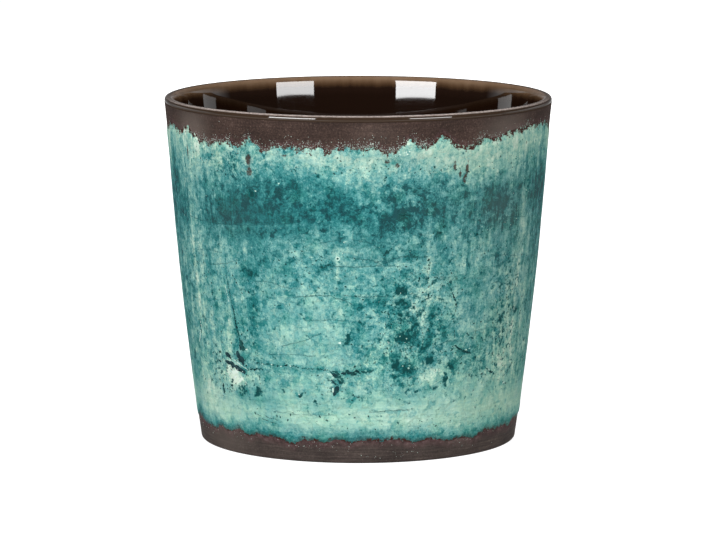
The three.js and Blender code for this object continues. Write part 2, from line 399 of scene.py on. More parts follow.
def lining_profile():
    """From the middle of the floor up the wall and over the lip, then back along the clay."""
    face = inside_line(LINING_DEPTH, 10, LINING_ROW)[:-1]
    for a in np.linspace(180 - LINING_LEAN, LINING_WRAP, 37):
        thin = LINING_DEPTH * (1 - 0.95 * eased(90 - a, 0, 60))
        out, up = np.cos(np.radians(a)), np.sin(np.radians(a))
        fuller = (abs(out) ** LIP_SQUARENESS + abs(up) ** LIP_SQUARENESS) ** (-1 / LIP_SQUARENESS)
        reach = (CLAY_LIP_RADIUS + thin) * (fuller if a < 90 else 1.0)
        face.append((LIP_CENTRE + reach * out, LIP_LEVEL + reach * up))
    lip = (LIP_CENTRE, LIP_LEVEL)
    back_lip = spaced_arc(lip, CLAY_LIP_RADIUS - LINING_BITE, LINING_WRAP - 4, 180, 12)
    return [*face, *back_lip, *inside_line(-LINING_BITE, 6, HIDDEN_ROW)[::-1][1:]]


lining = turned_piece("lining_skin", lining_profile()[::-1], LINING_STEPS, lining_ripple)[0]
print("lining:", len(lining.data.polygons), "faces")

# %% [markdown]
# ## Marks in the glaze
# The kiln left its marks on the coat: clouds that melted dark, clear spots, pinholes where the clay shows,
# pale runs and hairlines. Each is a dab with a place, a size and a strength: degrees from the front,
# millimetres above the table, and millimetres of half width and half height. A hairline is a few points and
# a weight. The side that nobody has seen gets marks of the same kinds, most of them from a seeded draw.

# %% Lists of marks
# Clouds, darker or with a minus paler.
CLOUDS = [
    (-24, 121, 24, 9, 0.1), (-24, 132, 18, 8, 0.08), (-45, 117, 16, 9, 0.1), (12, 124, 16, 10, 0.06),
    (48, 120, 18, 12, 0.18), (45, 130, 14, 8, 0.08), (-60, 120, 10, 40, -0.12), (-15, 62, 24, 22, -0.12),
    (-22, 72, 16, 14, -0.04), (15, 62, 12, 26, 0.08), (2, 70, 9, 16, 0.04), (62, 112, 8, 30, -0.1),
    (-10, 146, 20, 7, -0.12), (35, 146, 20, 6, -0.1), (-58, 145, 10, 12, -0.12), (-28, 95, 14, 8, 0.06),
    (25, 42.5, 8, 3.5, -0.22), (28, 72, 6, 14, -0.03), (-45.4, 39.6, 8, 5, -0.5), (-47, 62, 4, 12, -0.14),
    (-45, 148, 44, 8, 0.12), (-10, 150, 14, 5, 0.1), (-42, 139, 46, 8, 0.08), (66, 136, 14, 12, 0.2),
    (75, 95, 7, 70, 0.14), (-76, 110, 7, 60, 0.12), (-61, 36, 9, 13, -0.18), (-20, 114, 7, 4, 0.1),
    (20, 117, 8, 7, 0.1), (31, 115, 5, 6, -0.1), (40, 140, 30, 10, -0.04), (-76, 14, 8, 6, 0.2),
    (35, 14, 24, 3, -0.12), (-36, 29, 12, 4, 0.14), (-74, 25, 7, 18, 0.16), (56, 46, 12, 10, -0.1),
    (60, 138, 8, 10, 0.16), (-42, 148, 13, 6, 0.14), (-28, 100, 6, 6, 0.1), (-30, 51, 6, 5, 0.1),
    (20, 72, 6, 9, -0.1), (-20, 74, 6, 8, 0.1), (20, 84, 8, 20, -0.14), (10, 60, 8, 18, -0.06),
    (-2, 60, 8, 14, 0.1), (-10, 104, 8, 8, -0.12), (-30, 108, 8, 10, 0.08), (-20, 111, 8, 7, 0.1),
    (20, 122, 8, 8, 0.12), (10, 118, 8, 6, 0.08), (-20, 149, 10, 5, 0.14), (-10, 141, 8, 7, 0.12),
    (-8, 133, 10, 5, 0.08), (-74, 118, 5, 8, -0.22), (60, 136, 6, 8, 0.08), (71, 100, 6, 14, 0.1),
    (-41, 44, 5, 4, 0.1), (55, 44, 10, 6, -0.08), (60, 56, 6, 10, -0.08), (-30, 22, 7, 8, 0.14),
    (0, 15.5, 14, 2.2, 0.16), (-20, 15.5, 7, 2.2, 0.14), (40, 14, 8, 3, -0.14), (20, 19, 7, 3, -0.1),
    (-46, 144, 10, 3.5, -0.12), (-60, 152, 8, 5, 0.14), (-25, 153, 12, 3, 0.14), (-2, 154, 8, 3, 0.12),
    (-20, 92, 6, 6, 0.12), (-3, 128, 8, 8, 0.06), (20, 127, 8, 4, 0.1), (-60, 16, 12, 5, 0.06),
    (-40, 124, 32, 14, 0.04), (-30, 108, 14, 6, 0.08), (-50, 106, 6, 6, 0.1), (-40, 131, 10, 6, 0.08),
    (-20, 144, 22, 6, 0.08), (3, 116, 10, 6, 0.1), (15, 121, 10, 6, 0.06), (45, 121, 12, 6, 0.06),
    (18, 76, 5, 7, -0.1), (58, 54, 9, 14, -0.08), (50, 42, 12, 8, -0.08), (40, 72, 8, 5, 0.05),
    (55, 66, 6, 8, -0.06), (-73, 136, 6, 16, 0.16), (-74, 12, 6, 6, 0.1), (70, 142, 8, 10, 0.08),
    (12, 52, 5, 4, -0.06), (-32, 18.5, 12, 3, 0.08), (8, 15.5, 7, 2.5, 0.1), (-8, 28, 18, 4, 0.06),
    (60, 24, 6, 4, -0.06), (-36, 70, 3.4, 14, 0.22), (-7, 39, 5, 5, -0.1), (-47, 138, 8, 8, -0.08),
    (14, 75, 8, 6, -0.1), (55, 60, 9, 5, -0.08), (-36, 97, 10, 8, 0.08), (-10, 60, 5, 5, 0.08),
    (-30, 29, 6, 4, 0.08), (-22, 52, 10, 4, 0.08), (0, 149.5, 5, 3, -0.14), (10, 149.5, 5, 3, 0.16),
    (50, 139, 6, 4, 0.06), (60, 133, 6, 4, 0.06), (53, 58, 12, 20, -0.07),
]
# Dark spots of clear glass.
SPOTS = [
    (-35, 92, 5, 3.4, 0.34), (-35, 68, 4, 10, 0.12), (-35, 78, 4, 5, 0.14), (0, 76.5, 2.6, 2.6, 0.34),
    (6.5, 79, 3, 2, 0.26), (13, 85, 4, 3, 0.28), (14, 78, 4.5, 2.6, 0.3), (14, 73, 2.4, 2, 0.26),
    (18.5, 69, 2, 1.8, 0.24), (23.5, 65.5, 1.8, 1.6, 0.28), (-18, 79, 1.8, 2, 0.34),
    (-24, 74, 1.8, 2, 0.16), (-11, 96, 1.6, 1.8, 0.28), (-9, 82.5, 1.6, 1.4, 0.28), (1, 68, 3, 4, 0.28),
    (-3, 62, 3, 4, 0.28), (15, 61, 4, 2.8, 0.36), (21, 57, 2.4, 2, 0.28), (24, 51, 3, 2.4, 0.34),
    (16, 47, 3.6, 3, 0.36), (12, 46, 2.6, 4, 0.26), (15, 39, 2.6, 2, 0.22), (32, 47, 2.6, 2.4, 0.34),
    (30, 39, 1.4, 4, 0.28), (38, 53, 3, 4, 0.22), (62, 69, 3, 3, 0.22), (53, 67, 2.2, 2, 0.22),
    (71, 70, 2.4, 3, 0.24), (-42.5, 32, 3, 2.4, 0.5), (-35.5, 33, 3.2, 3, 0.5), (-52, 30.5, 2, 1.4, 0.26),
    (-8, 36, 1.6, 2.4, 0.3), (-15, 30, 1.8, 1.4, 0.24), (-20, 33, 1.8, 1.2, 0.26),
    (-34, 130, 2.6, 3, 0.36), (14, 121.5, 3.6, 2.2, 0.36), (8, 121.5, 2.4, 1.8, 0.26),
    (-47, 124, 2.4, 1.8, 0.3), (-41, 126, 2, 1.8, 0.28), (38.5, 109.5, 1.2, 0.9, 0.3),
    (-28, 57, 1.4, 1.8, 0.22), (-28, 66, 1.2, 2.2, 0.18), (-52, 74, 2.4, 1.6, 0.18),
    (-60, 66, 2.4, 2, 0.16), (63, 130, 3, 6, 0.34), (-70, 101, 4, 2, 0.18), (-69, 86, 3, 2, 0.18),
    (-67, 80.5, 1.6, 1.4, 0.22), (61, 39, 1.8, 2.2, 0.22), (8, 88, 1.6, 1.6, 0.26),
    (27.4, 67.6, 1.6, 1.2, 0.24), (22.9, 68.9, 1.4, 1.2, 0.24), (27.7, 49.7, 1.6, 1.4, 0.26),
    (26, 36, 1.6, 1.4, 0.2), (-53, 79, 1.8, 1.4, 0.2), (-12, 140, 1.6, 1.6, 0.22),
    (-20, 135.5, 1.8, 1.6, 0.22), (12, 50, 1.8, 1.8, 0.26), (72, 51, 3, 2.4, 0.18),
    (40, 85, 2.2, 3, 0.14), (-32, 104, 3, 2, 0.1), (-20, 100, 1.4, 1.6, 0.16),
]
# Greener melt.
GREEN_SPOTS = [
    (-34, 130, 3, 4, 0.9), (14, 121.5, 4, 3, 0.9), (8.5, 122, 3, 3, 0.7), (12.5, 131, 3, 3, 0.7),
    (63, 130, 4, 7, 0.7), (25, 113, 3, 4, 0.8), (32, 46.2, 3, 3, 0.9), (-35.5, 32.5, 3, 3, 0.9),
    (-42.5, 32, 3, 3, 0.8), (60, 36, 24, 34, 0.4), (40, 135, 16, 16, 0.25), (42, 149, 40, 9, 0.5),
    (-45, 148, 22, 7, 0.3), (15, 60, 12, 20, 0.2), (110, 120, 8, 8, 0.6), (150, 60, 10, 10, 0.6),
    (-160, 110, 8, 8, 0.6), (-120, 50, 9, 9, 0.6),
]
# Spots where the clay shows. They need no strength.
BARE_SPOTS = [
    (-34, 146.3, 1.9, 2.9), (-34, 140.6, 1.8, 2), (8.5, 147.3, 1.3, 1), (11.5, 145.5, 1.2, 1.4),
    (29.5, 144, 0.9, 2.6), (31.5, 140, 0.8, 2.2), (33.8, 142, 0.9, 4.2), (33, 137, 1, 2),
    (-22, 149.5, 1.4, 0.8), (-61.5, 146.5, 0.7, 4),
]
print(len(CLOUDS), "clouds,", len(SPOTS), "spots and", len(BARE_SPOTS), "bare spots on the front")

# %% Hairlines and runs
# Each hairline is (weight, points of angle and height).
HAIRLINES = [
    (0.8, [(-64, 115), (-56, 114), (-48, 113.7), (-35, 114.8), (-21, 117)]),
    (0.7, [(-52, 93), (-46, 94.5), (-40, 97)]),
    (0.7, [(-33.5, 87.6), (-28, 87.9), (-24, 86), (-21, 85.4)]),
    (0.9, [(-20.4, 81.4), (-14, 82.4), (-8.8, 82.6), (-3.5, 80), (-1.9, 78.6)]),
    (0.8, [(-4.1, 82.7), (3, 82.3), (9.3, 82.5)]),
    (0.7, [(-25, 57), (-18, 60), (-12, 64)]),
    (0.8, [(-8.6, 97.1), (0, 96.6), (6, 97.2), (12.9, 96.9)]),
    (0.8, [(-2.5, 101.1), (2, 100.4), (8, 99.2), (13, 101.4), (19.2, 100.6)]),
    (0.7, [(-11.6, 108.1), (-7, 109.4), (-3.9, 110.8)]),
    (0.7, [(-1.5, 110), (4.5, 108.2), (7.6, 103)]),
    (0.7, [(46, 98.6), (52, 97.6), (58.5, 96.2)]),
    (0.9, [(47, 84.5), (49, 85.2), (52, 83.8), (58.5, 82)]),
    (0.7, [(50, 116.5), (56, 115.8), (62, 114.5)]),
    (0.6, [(25.5, 91), (29, 90.2), (32, 90)]),
    (0.6, [(25.5, 89.2), (29, 88.8), (32, 88.4)]),
    (0.7, [(4, 25.5), (10, 26.2), (17, 26)]),
    (0.6, [(-17, 70), (-9, 71), (-2, 70.2)]),
    (0.6, [(-30, 52), (-22, 53.4), (-15, 52.6)]),
    (0.6, [(40, 62), (47, 63), (55, 61.6)]),
    (0.6, [(-60, 99), (-54, 100.2), (-47, 99.6)]),
    (0.6, [(26, 57), (31, 59), (36, 58)]),
    (0.5, [(-30, 24), (-18, 23.4), (-8, 24)]),
    (0.7, [(96, 112), (108, 110), (119, 111)]),
    (0.8, [(104, 82), (112, 80.5), (124, 81.5)]),
    (0.7, [(130, 97), (141, 98), (152, 96)]),
    (0.7, [(-172, 118), (-158, 116), (-149, 118)]),
    (0.8, [(-168, 83), (-155, 81.5), (-146, 83)]),
    (0.7, [(-132, 60), (-121, 62), (-112, 60.4)]),
    (0.7, [(-110, 100), (-100, 99), (-91, 101)]),
]
# A dusty grey film, as dabs.
DUST = [
    (58, 98, 42, 76, 0.25), (25, 128, 40, 22, 0.14), (170, 90, 40, 80, 0.16), (-43, 116, 14, 9, 0.08),
    (46, 120, 14, 9, 0.1), (-42, 124, 40, 30, 0.14), (0, 106, 40, 10, 0.1), (-6, 15.5, 34, 2.5, 0.2),
    (12, 149.5, 26, 3.5, 0.16), (52, 122, 20, 16, 0.14),
]
# Dry whitish crust under the rim, as dabs.
CHALK = [
    (22, 148, 40, 7, 0.5), (-14, 149, 34, 6, 0.5), (-45, 147, 14, 7, 0.3), (55, 150, 20, 8, 0.3),
    (130, 149, 40, 6, 0.35), (-140, 149, 40, 6, 0.35),
]
# Painted sheen on the bare clay: paler dabs on the sides of the rim and of the foot.
CLAY_SHEEN_DABS = [
    (-58, 159, 13, 9, 0.42), (49, 159, 16, 9, 0.38), (5, 160, 12, 6, 0.1), (-54, 6, 18, 9, 0.25),
    (38, 11, 10, 4, 0.3),
]
# Pale upright runs, as dabs.
PALE_RUNS = [
    (-62, 105, 2.4, 42, 0.2), (22, 100, 1, 24, 0.26), (61, 108, 2.4, 40, 0.16), (67, 100, 1.8, 30, 0.14),
    (-64.5, 66, 1.2, 10, 0.18), (-46, 62, 2, 12, 0.1), (60, 62, 2, 14, 0.1), (67, 60, 1.6, 26, 0.12),
    (108, 104, 2.2, 40, 0.2), (151, 96, 1.6, 34, 0.2), (-171, 106, 2.4, 38, 0.18),
    (-132, 98, 1.4, 36, 0.22), (-95, 100, 2.4, 40, 0.16), (-6.3, 97, 1.1, 7, 0.2),
    (16.5, 122, 1.2, 7, 0.16), (-12.5, 113, 0.9, 6, 0.16), (-37, 105, 1, 9, 0.14), (-46, 105, 3, 5, 0.12),
]
# The dark band ends below in a sharp line on the left: (angle, level) of its two ends, and the step of the
# melt.
BAND_LINE = [(-54, 113.2), (-14, 117.8)]
BAND_STEP = 0.2
print(len(HAIRLINES), "hairlines,", len(PALE_RUNS), "runs")

# %% [markdown]
# ## Painting fields on the wall
# A field is a number at every point of the coat: how dark the melt is, how far the next hairline is. Fields
# are worked out on the mesh and read in the material by name. Soft dabs need no more than that. A hairline
# is thinner than the mesh is fine, so the field keeps the distance to it, with a sign for its two sides: a
# distance stays straight between two points, so the material can draw the line where the distance crosses
# zero.

# %% Fields from dabs and lines
# The unseen side in degrees from the front, and how far a drawn mark is stretched across or upright.
UNSEEN_SIDE = (80, 280)
MARK_SHAPES = (0.7, 1.4)


def dabs(angle, level, marks, power=2.0):
    """The sum of soft oval dabs, each (angle, height, half width, half height, strength or 1)."""
    total = np.zeros(np.shape(angle))
    for centre, height, wide, tall, *strength in marks:
        across = np.radians(apart_degrees(angle, centre)) * outer_radius(height) / wide
        reach = (across**2 + ((level - height) / tall) ** 2) ** (power / 2)
        total += (strength[0] if strength else 1.0) * np.exp(-reach)
    return total


def line_distance(angle, level, lines):
    """Distance in mm to the nearest line, with a sign for its side and without, and that line's weight."""
    nearest = np.full(np.shape(angle), 99.0)
    signed, weight = nearest.copy(), np.zeros(np.shape(angle))
    for strength, line in lines:
        for (angle_a, level_a), (angle_b, level_b) in zip(line[:-1], line[1:]):
            middle = outer_radius((level_a + level_b) / 2)
            x = np.radians(apart_degrees(angle, angle_a)) * middle
            y = level - level_a
            bx, by = np.radians(angle_b - angle_a) * middle, level_b - level_a
            along = np.clip((x * bx + y * by) / (bx * bx + by * by), 0, 1)
            gap = np.hypot(x - along * bx, y - along * by)
            side = np.where(x * by - y * bx < 0, -1.0, 1.0)
            closer = gap < nearest
            nearest = np.where(closer, gap, nearest)
            signed = np.where(closer, gap * side, signed)
            weight = np.where(closer, strength, weight)
    return signed, nearest, weight


def drawn_marks(count, seed, heights, sizes, strengths):
    """Dabs on the unseen side, from a seeded draw."""
    draw = np.random.default_rng(seed)
    marks = []
    for _ in range(count):
        size = draw.uniform(*sizes)
        shape = draw.uniform(*MARK_SHAPES)
        place = (draw.uniform(*UNSEEN_SIDE), draw.uniform(*heights))
        marks.append((*place, size * shape, size / shape, draw.uniform(*strengths)))
    return marks


BACK_CLOUDS = drawn_marks(26, seed=61, heights=(40, 145), sizes=(10, 24), strengths=(-0.14, 0.14))
BACK_SPOTS = drawn_marks(110, seed=62, heights=(28, 108), sizes=(1.2, 3.6), strengths=(0.14, 0.34))
BACK_BARE = drawn_marks(14, seed=63, heights=(137, 150), sizes=(0.8, 1.8), strengths=(1, 1))
BACK_BARE = [mark[:4] for mark in BACK_BARE]
print("unseen side:", len(BACK_CLOUDS), "clouds,", len(BACK_SPOTS), "spots,", len(BACK_BARE), "bare spots")

# %% [markdown]
# ## The turquoise coat
# The coat is a thin ring: a face with relief, a back on the clay and two ragged ends. Rows crowd together
# at the ends, where the glaze thins out to a rounded edge. Runs make faint upright ridges, dark melted
# spots lie a little lower, and bare spots go down almost to the clay.

# %% Model the coat
COAT_STEPS = 720
COAT_THICKNESS = 0.3
COAT_EDGE = 0.05
COAT_BACK = -0.04
COAT_ROWS = np.concatenate([
    0.045 * (np.arange(10) / 10) ** 1.4,
    np.linspace(0.045, 0.955, 100),
    1 - 0.045 * (np.arange(10) / 10)[::-1] ** 1.4,
])
BACK_ROWS = np.linspace(1, 0, 7)
HILL_HEIGHT = 0.05
ROLL_HEIGHT = 0.13
ROLL_ABOVE_EDGE = 3.5
ROLL_WIDTH = 2.6
BARE_DEPTH = 0.22
SPOT_DEPTH = 0.10

coat_angle = ring_angles(COAT_STEPS)[None, :]
top_edge = coat_top(coat_angle) + EDGE_FILM
bottom_edge = coat_bottom(coat_angle) - EDGE_FILM / LOWER_SMOOTHNESS
face_level = bottom_edge + (top_edge - bottom_edge) * COAT_ROWS[:, None]
face_angle = np.repeat(coat_angle, len(COAT_ROWS), 0)


def coat_radius(angle, level):
    """Radius of the coat's face in mm: the wall, the thickness of the coat and its relief."""
    build = eased(edge_distance(angle, level), EDGE_FILM - 0.8, EDGE_FILM + 3)
    runs = 0.05 * wall_noise(angle, level, across=7, up=70, seed=51)
    runs = runs + 0.035 * wall_noise(angle, level, across=3, up=30, seed=52)
    hills = HILL_HEIGHT * layered_noise(angle, level, across=12, up=12, seed=53, layers=3, fade=0.55)
    roll = ROLL_HEIGHT * np.exp(-(((level - coat_bottom(angle) - ROLL_ABOVE_EDGE) / ROLL_WIDTH) ** 2))
    sunk = BARE_DEPTH * np.clip(dabs(angle, level, BARE_SPOTS + BACK_BARE, 4.0), 0, 1)
    sunk = sunk + SPOT_DEPTH * np.clip(dabs(angle, level, SPOTS + BACK_SPOTS, 3.0), 0, 0.4)
    thickness = COAT_EDGE + (COAT_THICKNESS + runs + hills + roll) * build - sunk
    return outer_radius(level) + np.maximum(COAT_EDGE, thickness)


face_radius = coat_radius(face_angle, face_level)
back_level = bottom_edge + (top_edge - bottom_edge) * BACK_ROWS[:, None]
radius = np.concatenate([face_radius, outer_radius(back_level) + COAT_BACK])
level = np.concatenate([face_level, back_level])
face_rows, all_rows = len(COAT_ROWS), len(COAT_ROWS) + len(BACK_ROWS)
relief = face_radius - outer_radius(face_level)
print("coat is", np.round(relief.min(), 2), "to", np.round(relief.max(), 2), "mm thick")

# %% Mesh of the coat
# On the flat map each quarter of the face has a sheet, and the back has a strip above them.
SHEET = 0.48
SHEET_GAP = 0.005
STRIP_START = 0.965
STRIP_HEIGHT = 0.03


def coat_places():
    """Flat places: the face in four quarter turns on a 2 by 2 sheet, the back in a strip above them."""
    row, step = np.divmod(np.arange(all_rows * COAT_STEPS), COAT_STEPS)
    quarter = COAT_STEPS // 4
    across = step % quarter
    share = np.append(COAT_ROWS, 1.0)
    low, high = share[np.minimum(row, face_rows)], share[np.minimum(row + 1, face_rows)]
    u = np.stack([across, across + 1, across + 1, across], -1) / quarter
    v = np.stack([low, low, high, high], -1)
    u = u * (SHEET - SHEET_GAP) + (step // quarter % 2)[:, None] * SHEET
    v = v * (SHEET - SHEET_GAP) + (step // quarter // 2)[:, None] * SHEET
    back = (row >= face_rows - 1)[:, None]
    strip = np.stack([row, row, row + 1, row + 1], -1) - face_rows + 1
    return np.stack([u, np.where(back, STRIP_START + STRIP_HEIGHT * strip / (len(BACK_ROWS) + 1), v)], -1)


coat_quads = ring_quads(all_rows, COAT_STEPS, closed=True)
coat = fired_object("turquoise_coat", wall_points(radius, level), coat_quads.tolist(), coat_places())
print("coat:", len(coat.data.polygons), "faces")

# %% [markdown]
# ## Fields on the coat
# The melt goes through bands from the rim to the foot: a pale mint crust under the bare rim, a dark pooled
# band below it, a mottled middle, a second pale band and a dark line where the glaze stopped. The band
# heights wander round the pot, and clouds, spots and runs are laid over them. The number is 0 for the
# palest crust and 1 for the darkest glass.

# %% Melt of the coat
# Each band is (height in mm, melt).
BANDS = [
    (8, 0.78), (12.5, 0.72), (14.5, 0.56), (17, 0.36), (20, 0.24), (25, 0.25), (33, 0.38), (45, 0.48),
    (60, 0.5), (80, 0.52), (95, 0.55), (106, 0.6), (112, 0.72), (120, 0.8), (128, 0.78), (135, 0.64),
    (141, 0.46), (147, 0.33), (153, 0.27), (160, 0.24),
]
BAND_WANDER = 3.2
# A spot of this strength is fully dark. Round each spot the melt is darker, in a halo so many times as wide.
FULL_SPOT = 0.34
HALO = 1.6
HALO_MELT = 0.3


def read_off(place, pairs):
    """Values between the points of a list of (place, value)."""
    return np.interp(place, *np.array(pairs).T)


def on_face(marks, power=2.0):
    """The sum of soft dabs all over the face of the coat."""
    return dabs(face_angle, face_level, marks, power)


all_spots = SPOTS + BACK_SPOTS
halos = [(angle, height, HALO * wide, HALO * tall, part) for angle, height, wide, tall, part in all_spots]
wander = layered_noise(face_angle, face_level, across=30, up=60, seed=71, layers=3, fade=0.6)
wander = BAND_WANDER * wander
band_level = face_level + wander * eased(face_level, 26, 50) + 0.25 * wander
melt = read_off(band_level, BANDS)
melt += on_face(CLOUDS + BACK_CLOUDS, 2.5)
melt += HALO_MELT * on_face(halos)
melt -= on_face(PALE_RUNS, 3.0)
left_part = eased(face_angle, -58, -52) * (1 - eased(face_angle, -18, -10))
above_line = face_level - read_off(face_angle, BAND_LINE)
above_line = above_line + 0.8 * wall_noise(face_angle, face_level, across=6, up=40, seed=76)
melt += BAND_STEP * left_part * (eased(above_line, -0.6, 0.6) - eased(above_line, -8, 8))
print("melt from", np.round(melt.min(), 2), "to", np.round(melt.max(), 2))

# %% Strength of each pattern
# How strong the freckles, the streaks, the grain, the brush marks and the green tint are, by height in mm and
# in dabs.
STIPPLE_BANDS = [(20, 0.1), (32, 0.7), (45, 1.0), (85, 1.0), (105, 0.8), (118, 0.4), (130, 0.4), (145, 0.3)]
STIPPLE_DABS = [
    (14, 62, 22, 28, 0.6), (-16, 62, 22, 24, -0.5), (-46, 45, 16, 16, 0.3), (38, 60, 20, 30, 0.2),
    (54, 80, 16, 50, 0.5), (-42, 145, 18, 8, 1.2),
]
STREAK_DABS = [(38, 114, 24, 26, 0.7)]
GRAIN_BANDS = [(16, 0.8), (20, 0.3), (30, 0.4), (42, 1.0)]
GRAIN_DABS = [
    (-16, 62, 22, 26, -0.35), (15, 128, 24, 16, 0.35), (50, 120, 18, 26, 0.1), (14, 62, 20, 28, 0.3),
    (-40, 144, 18, 8, 0.7), (-36, 119, 26, 8, -0.5),
]
BRUSH_BANDS = [(12, 0.5), (18, 1.0), (30, 1.0), (40, 0.6), (110, 0.4)]
GREEN_BANDS = [(12, 0.35), (30, 0.35), (60, 0.2), (90, 0.0), (120, -0.1), (140, 0.0), (155, 0.2)]

stipple = read_off(band_level, STIPPLE_BANDS)
stipple = stipple * (0.85 + 0.35 * wall_noise(face_angle, face_level, across=14, up=40, seed=75))
stipple = stipple * (1 + on_face(STIPPLE_DABS, 2.5))
from_front = np.abs(face_angle)
streak = 0.40 + 1.1 * eased(from_front, 30, 60) - 0.9 * eased(from_front, 75, 110)
streak = streak * (0.25 + 0.75 * eased(face_level, 22, 44))
streak = streak + on_face(STREAK_DABS, 2.5)
grain = read_off(face_level, GRAIN_BANDS) * (1 + on_face(GRAIN_DABS, 2.5))
green = read_off(face_level, GREEN_BANDS)
green = green + 0.3 * eased(face_angle, 15, 45) + on_face(GREEN_SPOTS, 2.5)
print("freckles up to", np.round(stipple.max(), 2), "and streaks up to", np.round(streak.max(), 2))

# %% Write the fields
# Distances to a hairline are kept up to so many millimetres.
HAIR_REACH = 4


def write_field(mesh, name, values):
    """Stores one number for each point of a mesh under a name that a material can read."""
    attribute = mesh.attributes.new(name, "FLOAT", "POINT")
    attribute.data.foreach_set("value", np.ascontiguousarray(values, dtype=np.float32).ravel())


def with_back(values):
    """Gives the rows on the back of the coat the value of its lower edge."""
    return np.concatenate([values, np.repeat(values[:1], len(BACK_ROWS), 0)])


hair_signed, hair_gap, hair_weight = line_distance(face_angle, face_level, HAIRLINES)
coat_fields = {
    "melt": melt,
    "spot": on_face(all_spots, 2.5) / FULL_SPOT,
    "stipple": stipple,
    "grain": grain,
    "brush": read_off(face_level, BRUSH_BANDS),
    "green": green,
    "streak": streak,
    "chalk": on_face(CHALK, 3.0),
    "dust": on_face(DUST),
    "bare": on_face(BARE_SPOTS + BACK_BARE, 3.0),
    "hair_side": np.clip(hair_signed, -HAIR_REACH, HAIR_REACH),
    "hair_gap": np.clip(hair_gap, 0, HAIR_REACH),
    "hair_weight": hair_weight,
    "from_edge": edge_distance(face_angle, face_level),
}
for name, values in coat_fields.items():
    write_field(coat.data, name, with_back(values))
clay_gap = np.minimum(np.abs(clay_level - coat_top(clay_angle)), np.abs(clay_level - coat_bottom(clay_angle)))
write_field(clay_shell.data, "from_edge", clay_gap)
# Dabs of painted sheen on the clay, kept as a field.
write_field(clay_shell.data, "painted_sheen", dabs(clay_angle, clay_level, CLAY_SHEEN_DABS, 2.5))
print("fields on the coat:", *coat_fields)

# %% [markdown]
# ## Small marks with a shape of their own
# Cracks that opened, chips along them, crumbs of white crust, dark specks and spray droplets on the bare
# clay are small, most of them under a millimetre wide. They are modelled as low ragged domes that lie on
# the wall, a few hundredths of a millimetre high, because their outlines must stay crisp. A crack is a
# chain of such domes along a line, with gaps. One function makes the mesh for any list of marks.

# %% Domes on the wall
DOME_SIDES = 8
# Each ring of a dome is (share of its size, share of its height).
DOME_RINGS = [(1, -0.6), (0.85, 0.5), (0.45, 1)]
DOME_WOBBLE = (0.65, 1.3)
DOME_PLACE = 0.42


def domes(name, marks, surface, lift, seed):
    """One mesh of low domes, each mark (angle, level, half length, half width, tilt in degrees)."""
    angle, level, long, wide, tilt = np.array(marks, float).T[:, :, None, None]
    share, rise = np.array(DOME_RINGS).T[:, None, :, None]
    around = np.radians(np.arange(DOME_SIDES) * 360 / DOME_SIDES)
    wobble = np.random.default_rng(seed).uniform(*DOME_WOBBLE, (len(marks), 1, DOME_SIDES))
    x = long * share * wobble * np.cos(around)
    y = wide * share * wobble * np.sin(around)
    lean = np.radians(tilt)
    place = angle + np.degrees((x * np.cos(lean) - y * np.sin(lean)) / outer_radius(level))
    height = level + x * np.sin(lean) + y * np.cos(lean)
    turn, reach = np.radians(place), surface(place, height) + rise * np.minimum(lift, wide / 2)
    points = np.stack([reach * np.sin(turn), -reach * np.cos(turn), height], -1).reshape(-1, 3)

    number = np.arange(len(points)).reshape(len(marks), len(DOME_RINGS), DOME_SIDES)
    after = np.roll(number, -1, 2)
    sides = np.stack([number[:, :-1], after[:, :-1], after[:, 1:], number[:, 1:]], -1).reshape(-1, 4)
    tops, bases = number[:, -1], number[:, 0, ::-1]
    columns = int(np.ceil(np.sqrt(len(marks))))
    row, column = np.divmod(np.arange(len(marks))[:, None, None], columns)
    u = (column + 0.5 + DOME_PLACE * share * np.cos(around)) / columns / 2
    v = (row + 0.5 + DOME_PLACE * share * np.sin(around)) / columns
    flat = np.stack([u, v + 0 * u], -1).reshape(-1, 2)
    places = np.concatenate([flat[sides.ravel()], flat[tops.ravel()], flat[bases.ravel()] + (0.5, 0)])
    return fired_object(name, points, sides.tolist() + tops.tolist() + bases.tolist(), places)


print("a dome has", DOME_SIDES * len(DOME_RINGS), "points")

# %% Lines and patches of domes
def chain(lines, seed):
    """Domes along lines, each line (half width at its start, at its end, share that is filled, points)."""
    draw = np.random.default_rng(seed)
    marks = []
    for start, end, filled, line in lines:
        for (angle_a, level_a), (angle_b, level_b) in zip(line[:-1], line[1:]):
            part = line.index((angle_a, level_a)) / (len(line) - 1)
            right, up = np.radians(angle_b - angle_a) * outer_radius(level_a), level_b - level_a
            tilt = np.degrees(np.arctan2(up, right))
            width = start + (end - start) * part
            count = max(1, round(np.hypot(right, up) / max(0.55, 1.1 * width)))
            for place in (np.arange(count) + 0.5) / count:
                if draw.uniform() < filled:
                    off = draw.normal(0, 0.45 * width)
                    size = width * draw.uniform(0.45, 1.4)
                    long = max(0.45, 1.2 * width) * draw.uniform(0.7, 1.2)
                    angle, level = angle_a + (angle_b - angle_a) * place, level_a + up * place + off
                    marks.append((angle, level, long, size, tilt + draw.normal(0, 22)))
    return marks


def scattered(patches, small, large, seed):
    """Specks drawn around patches, each (angle, level, spread in degrees, spread in mm, count)."""
    draw = np.random.default_rng(seed)
    marks = []
    for angle, level, wide, tall, count in patches:
        for _ in range(count):
            size = small + (large - small) * draw.uniform() ** 2.5
            marks.append((angle + wide * draw.normal(0, 0.7), level + tall * draw.normal(0, 0.6),
                          size * draw.uniform(1, 1.6), size * draw.uniform(0.6, 1), draw.uniform(0, 180)))
    inside = np.array([mark[:2] for mark in marks]).T
    return [mark for mark, gap in zip(marks, edge_distance(*inside)) if gap > EDGE_FILM + 1]


print("a chain of 10 mm has", len(chain([(0.3, 0.3, 1.0, [(0, 50), (0, 60)])], 1)), "domes")

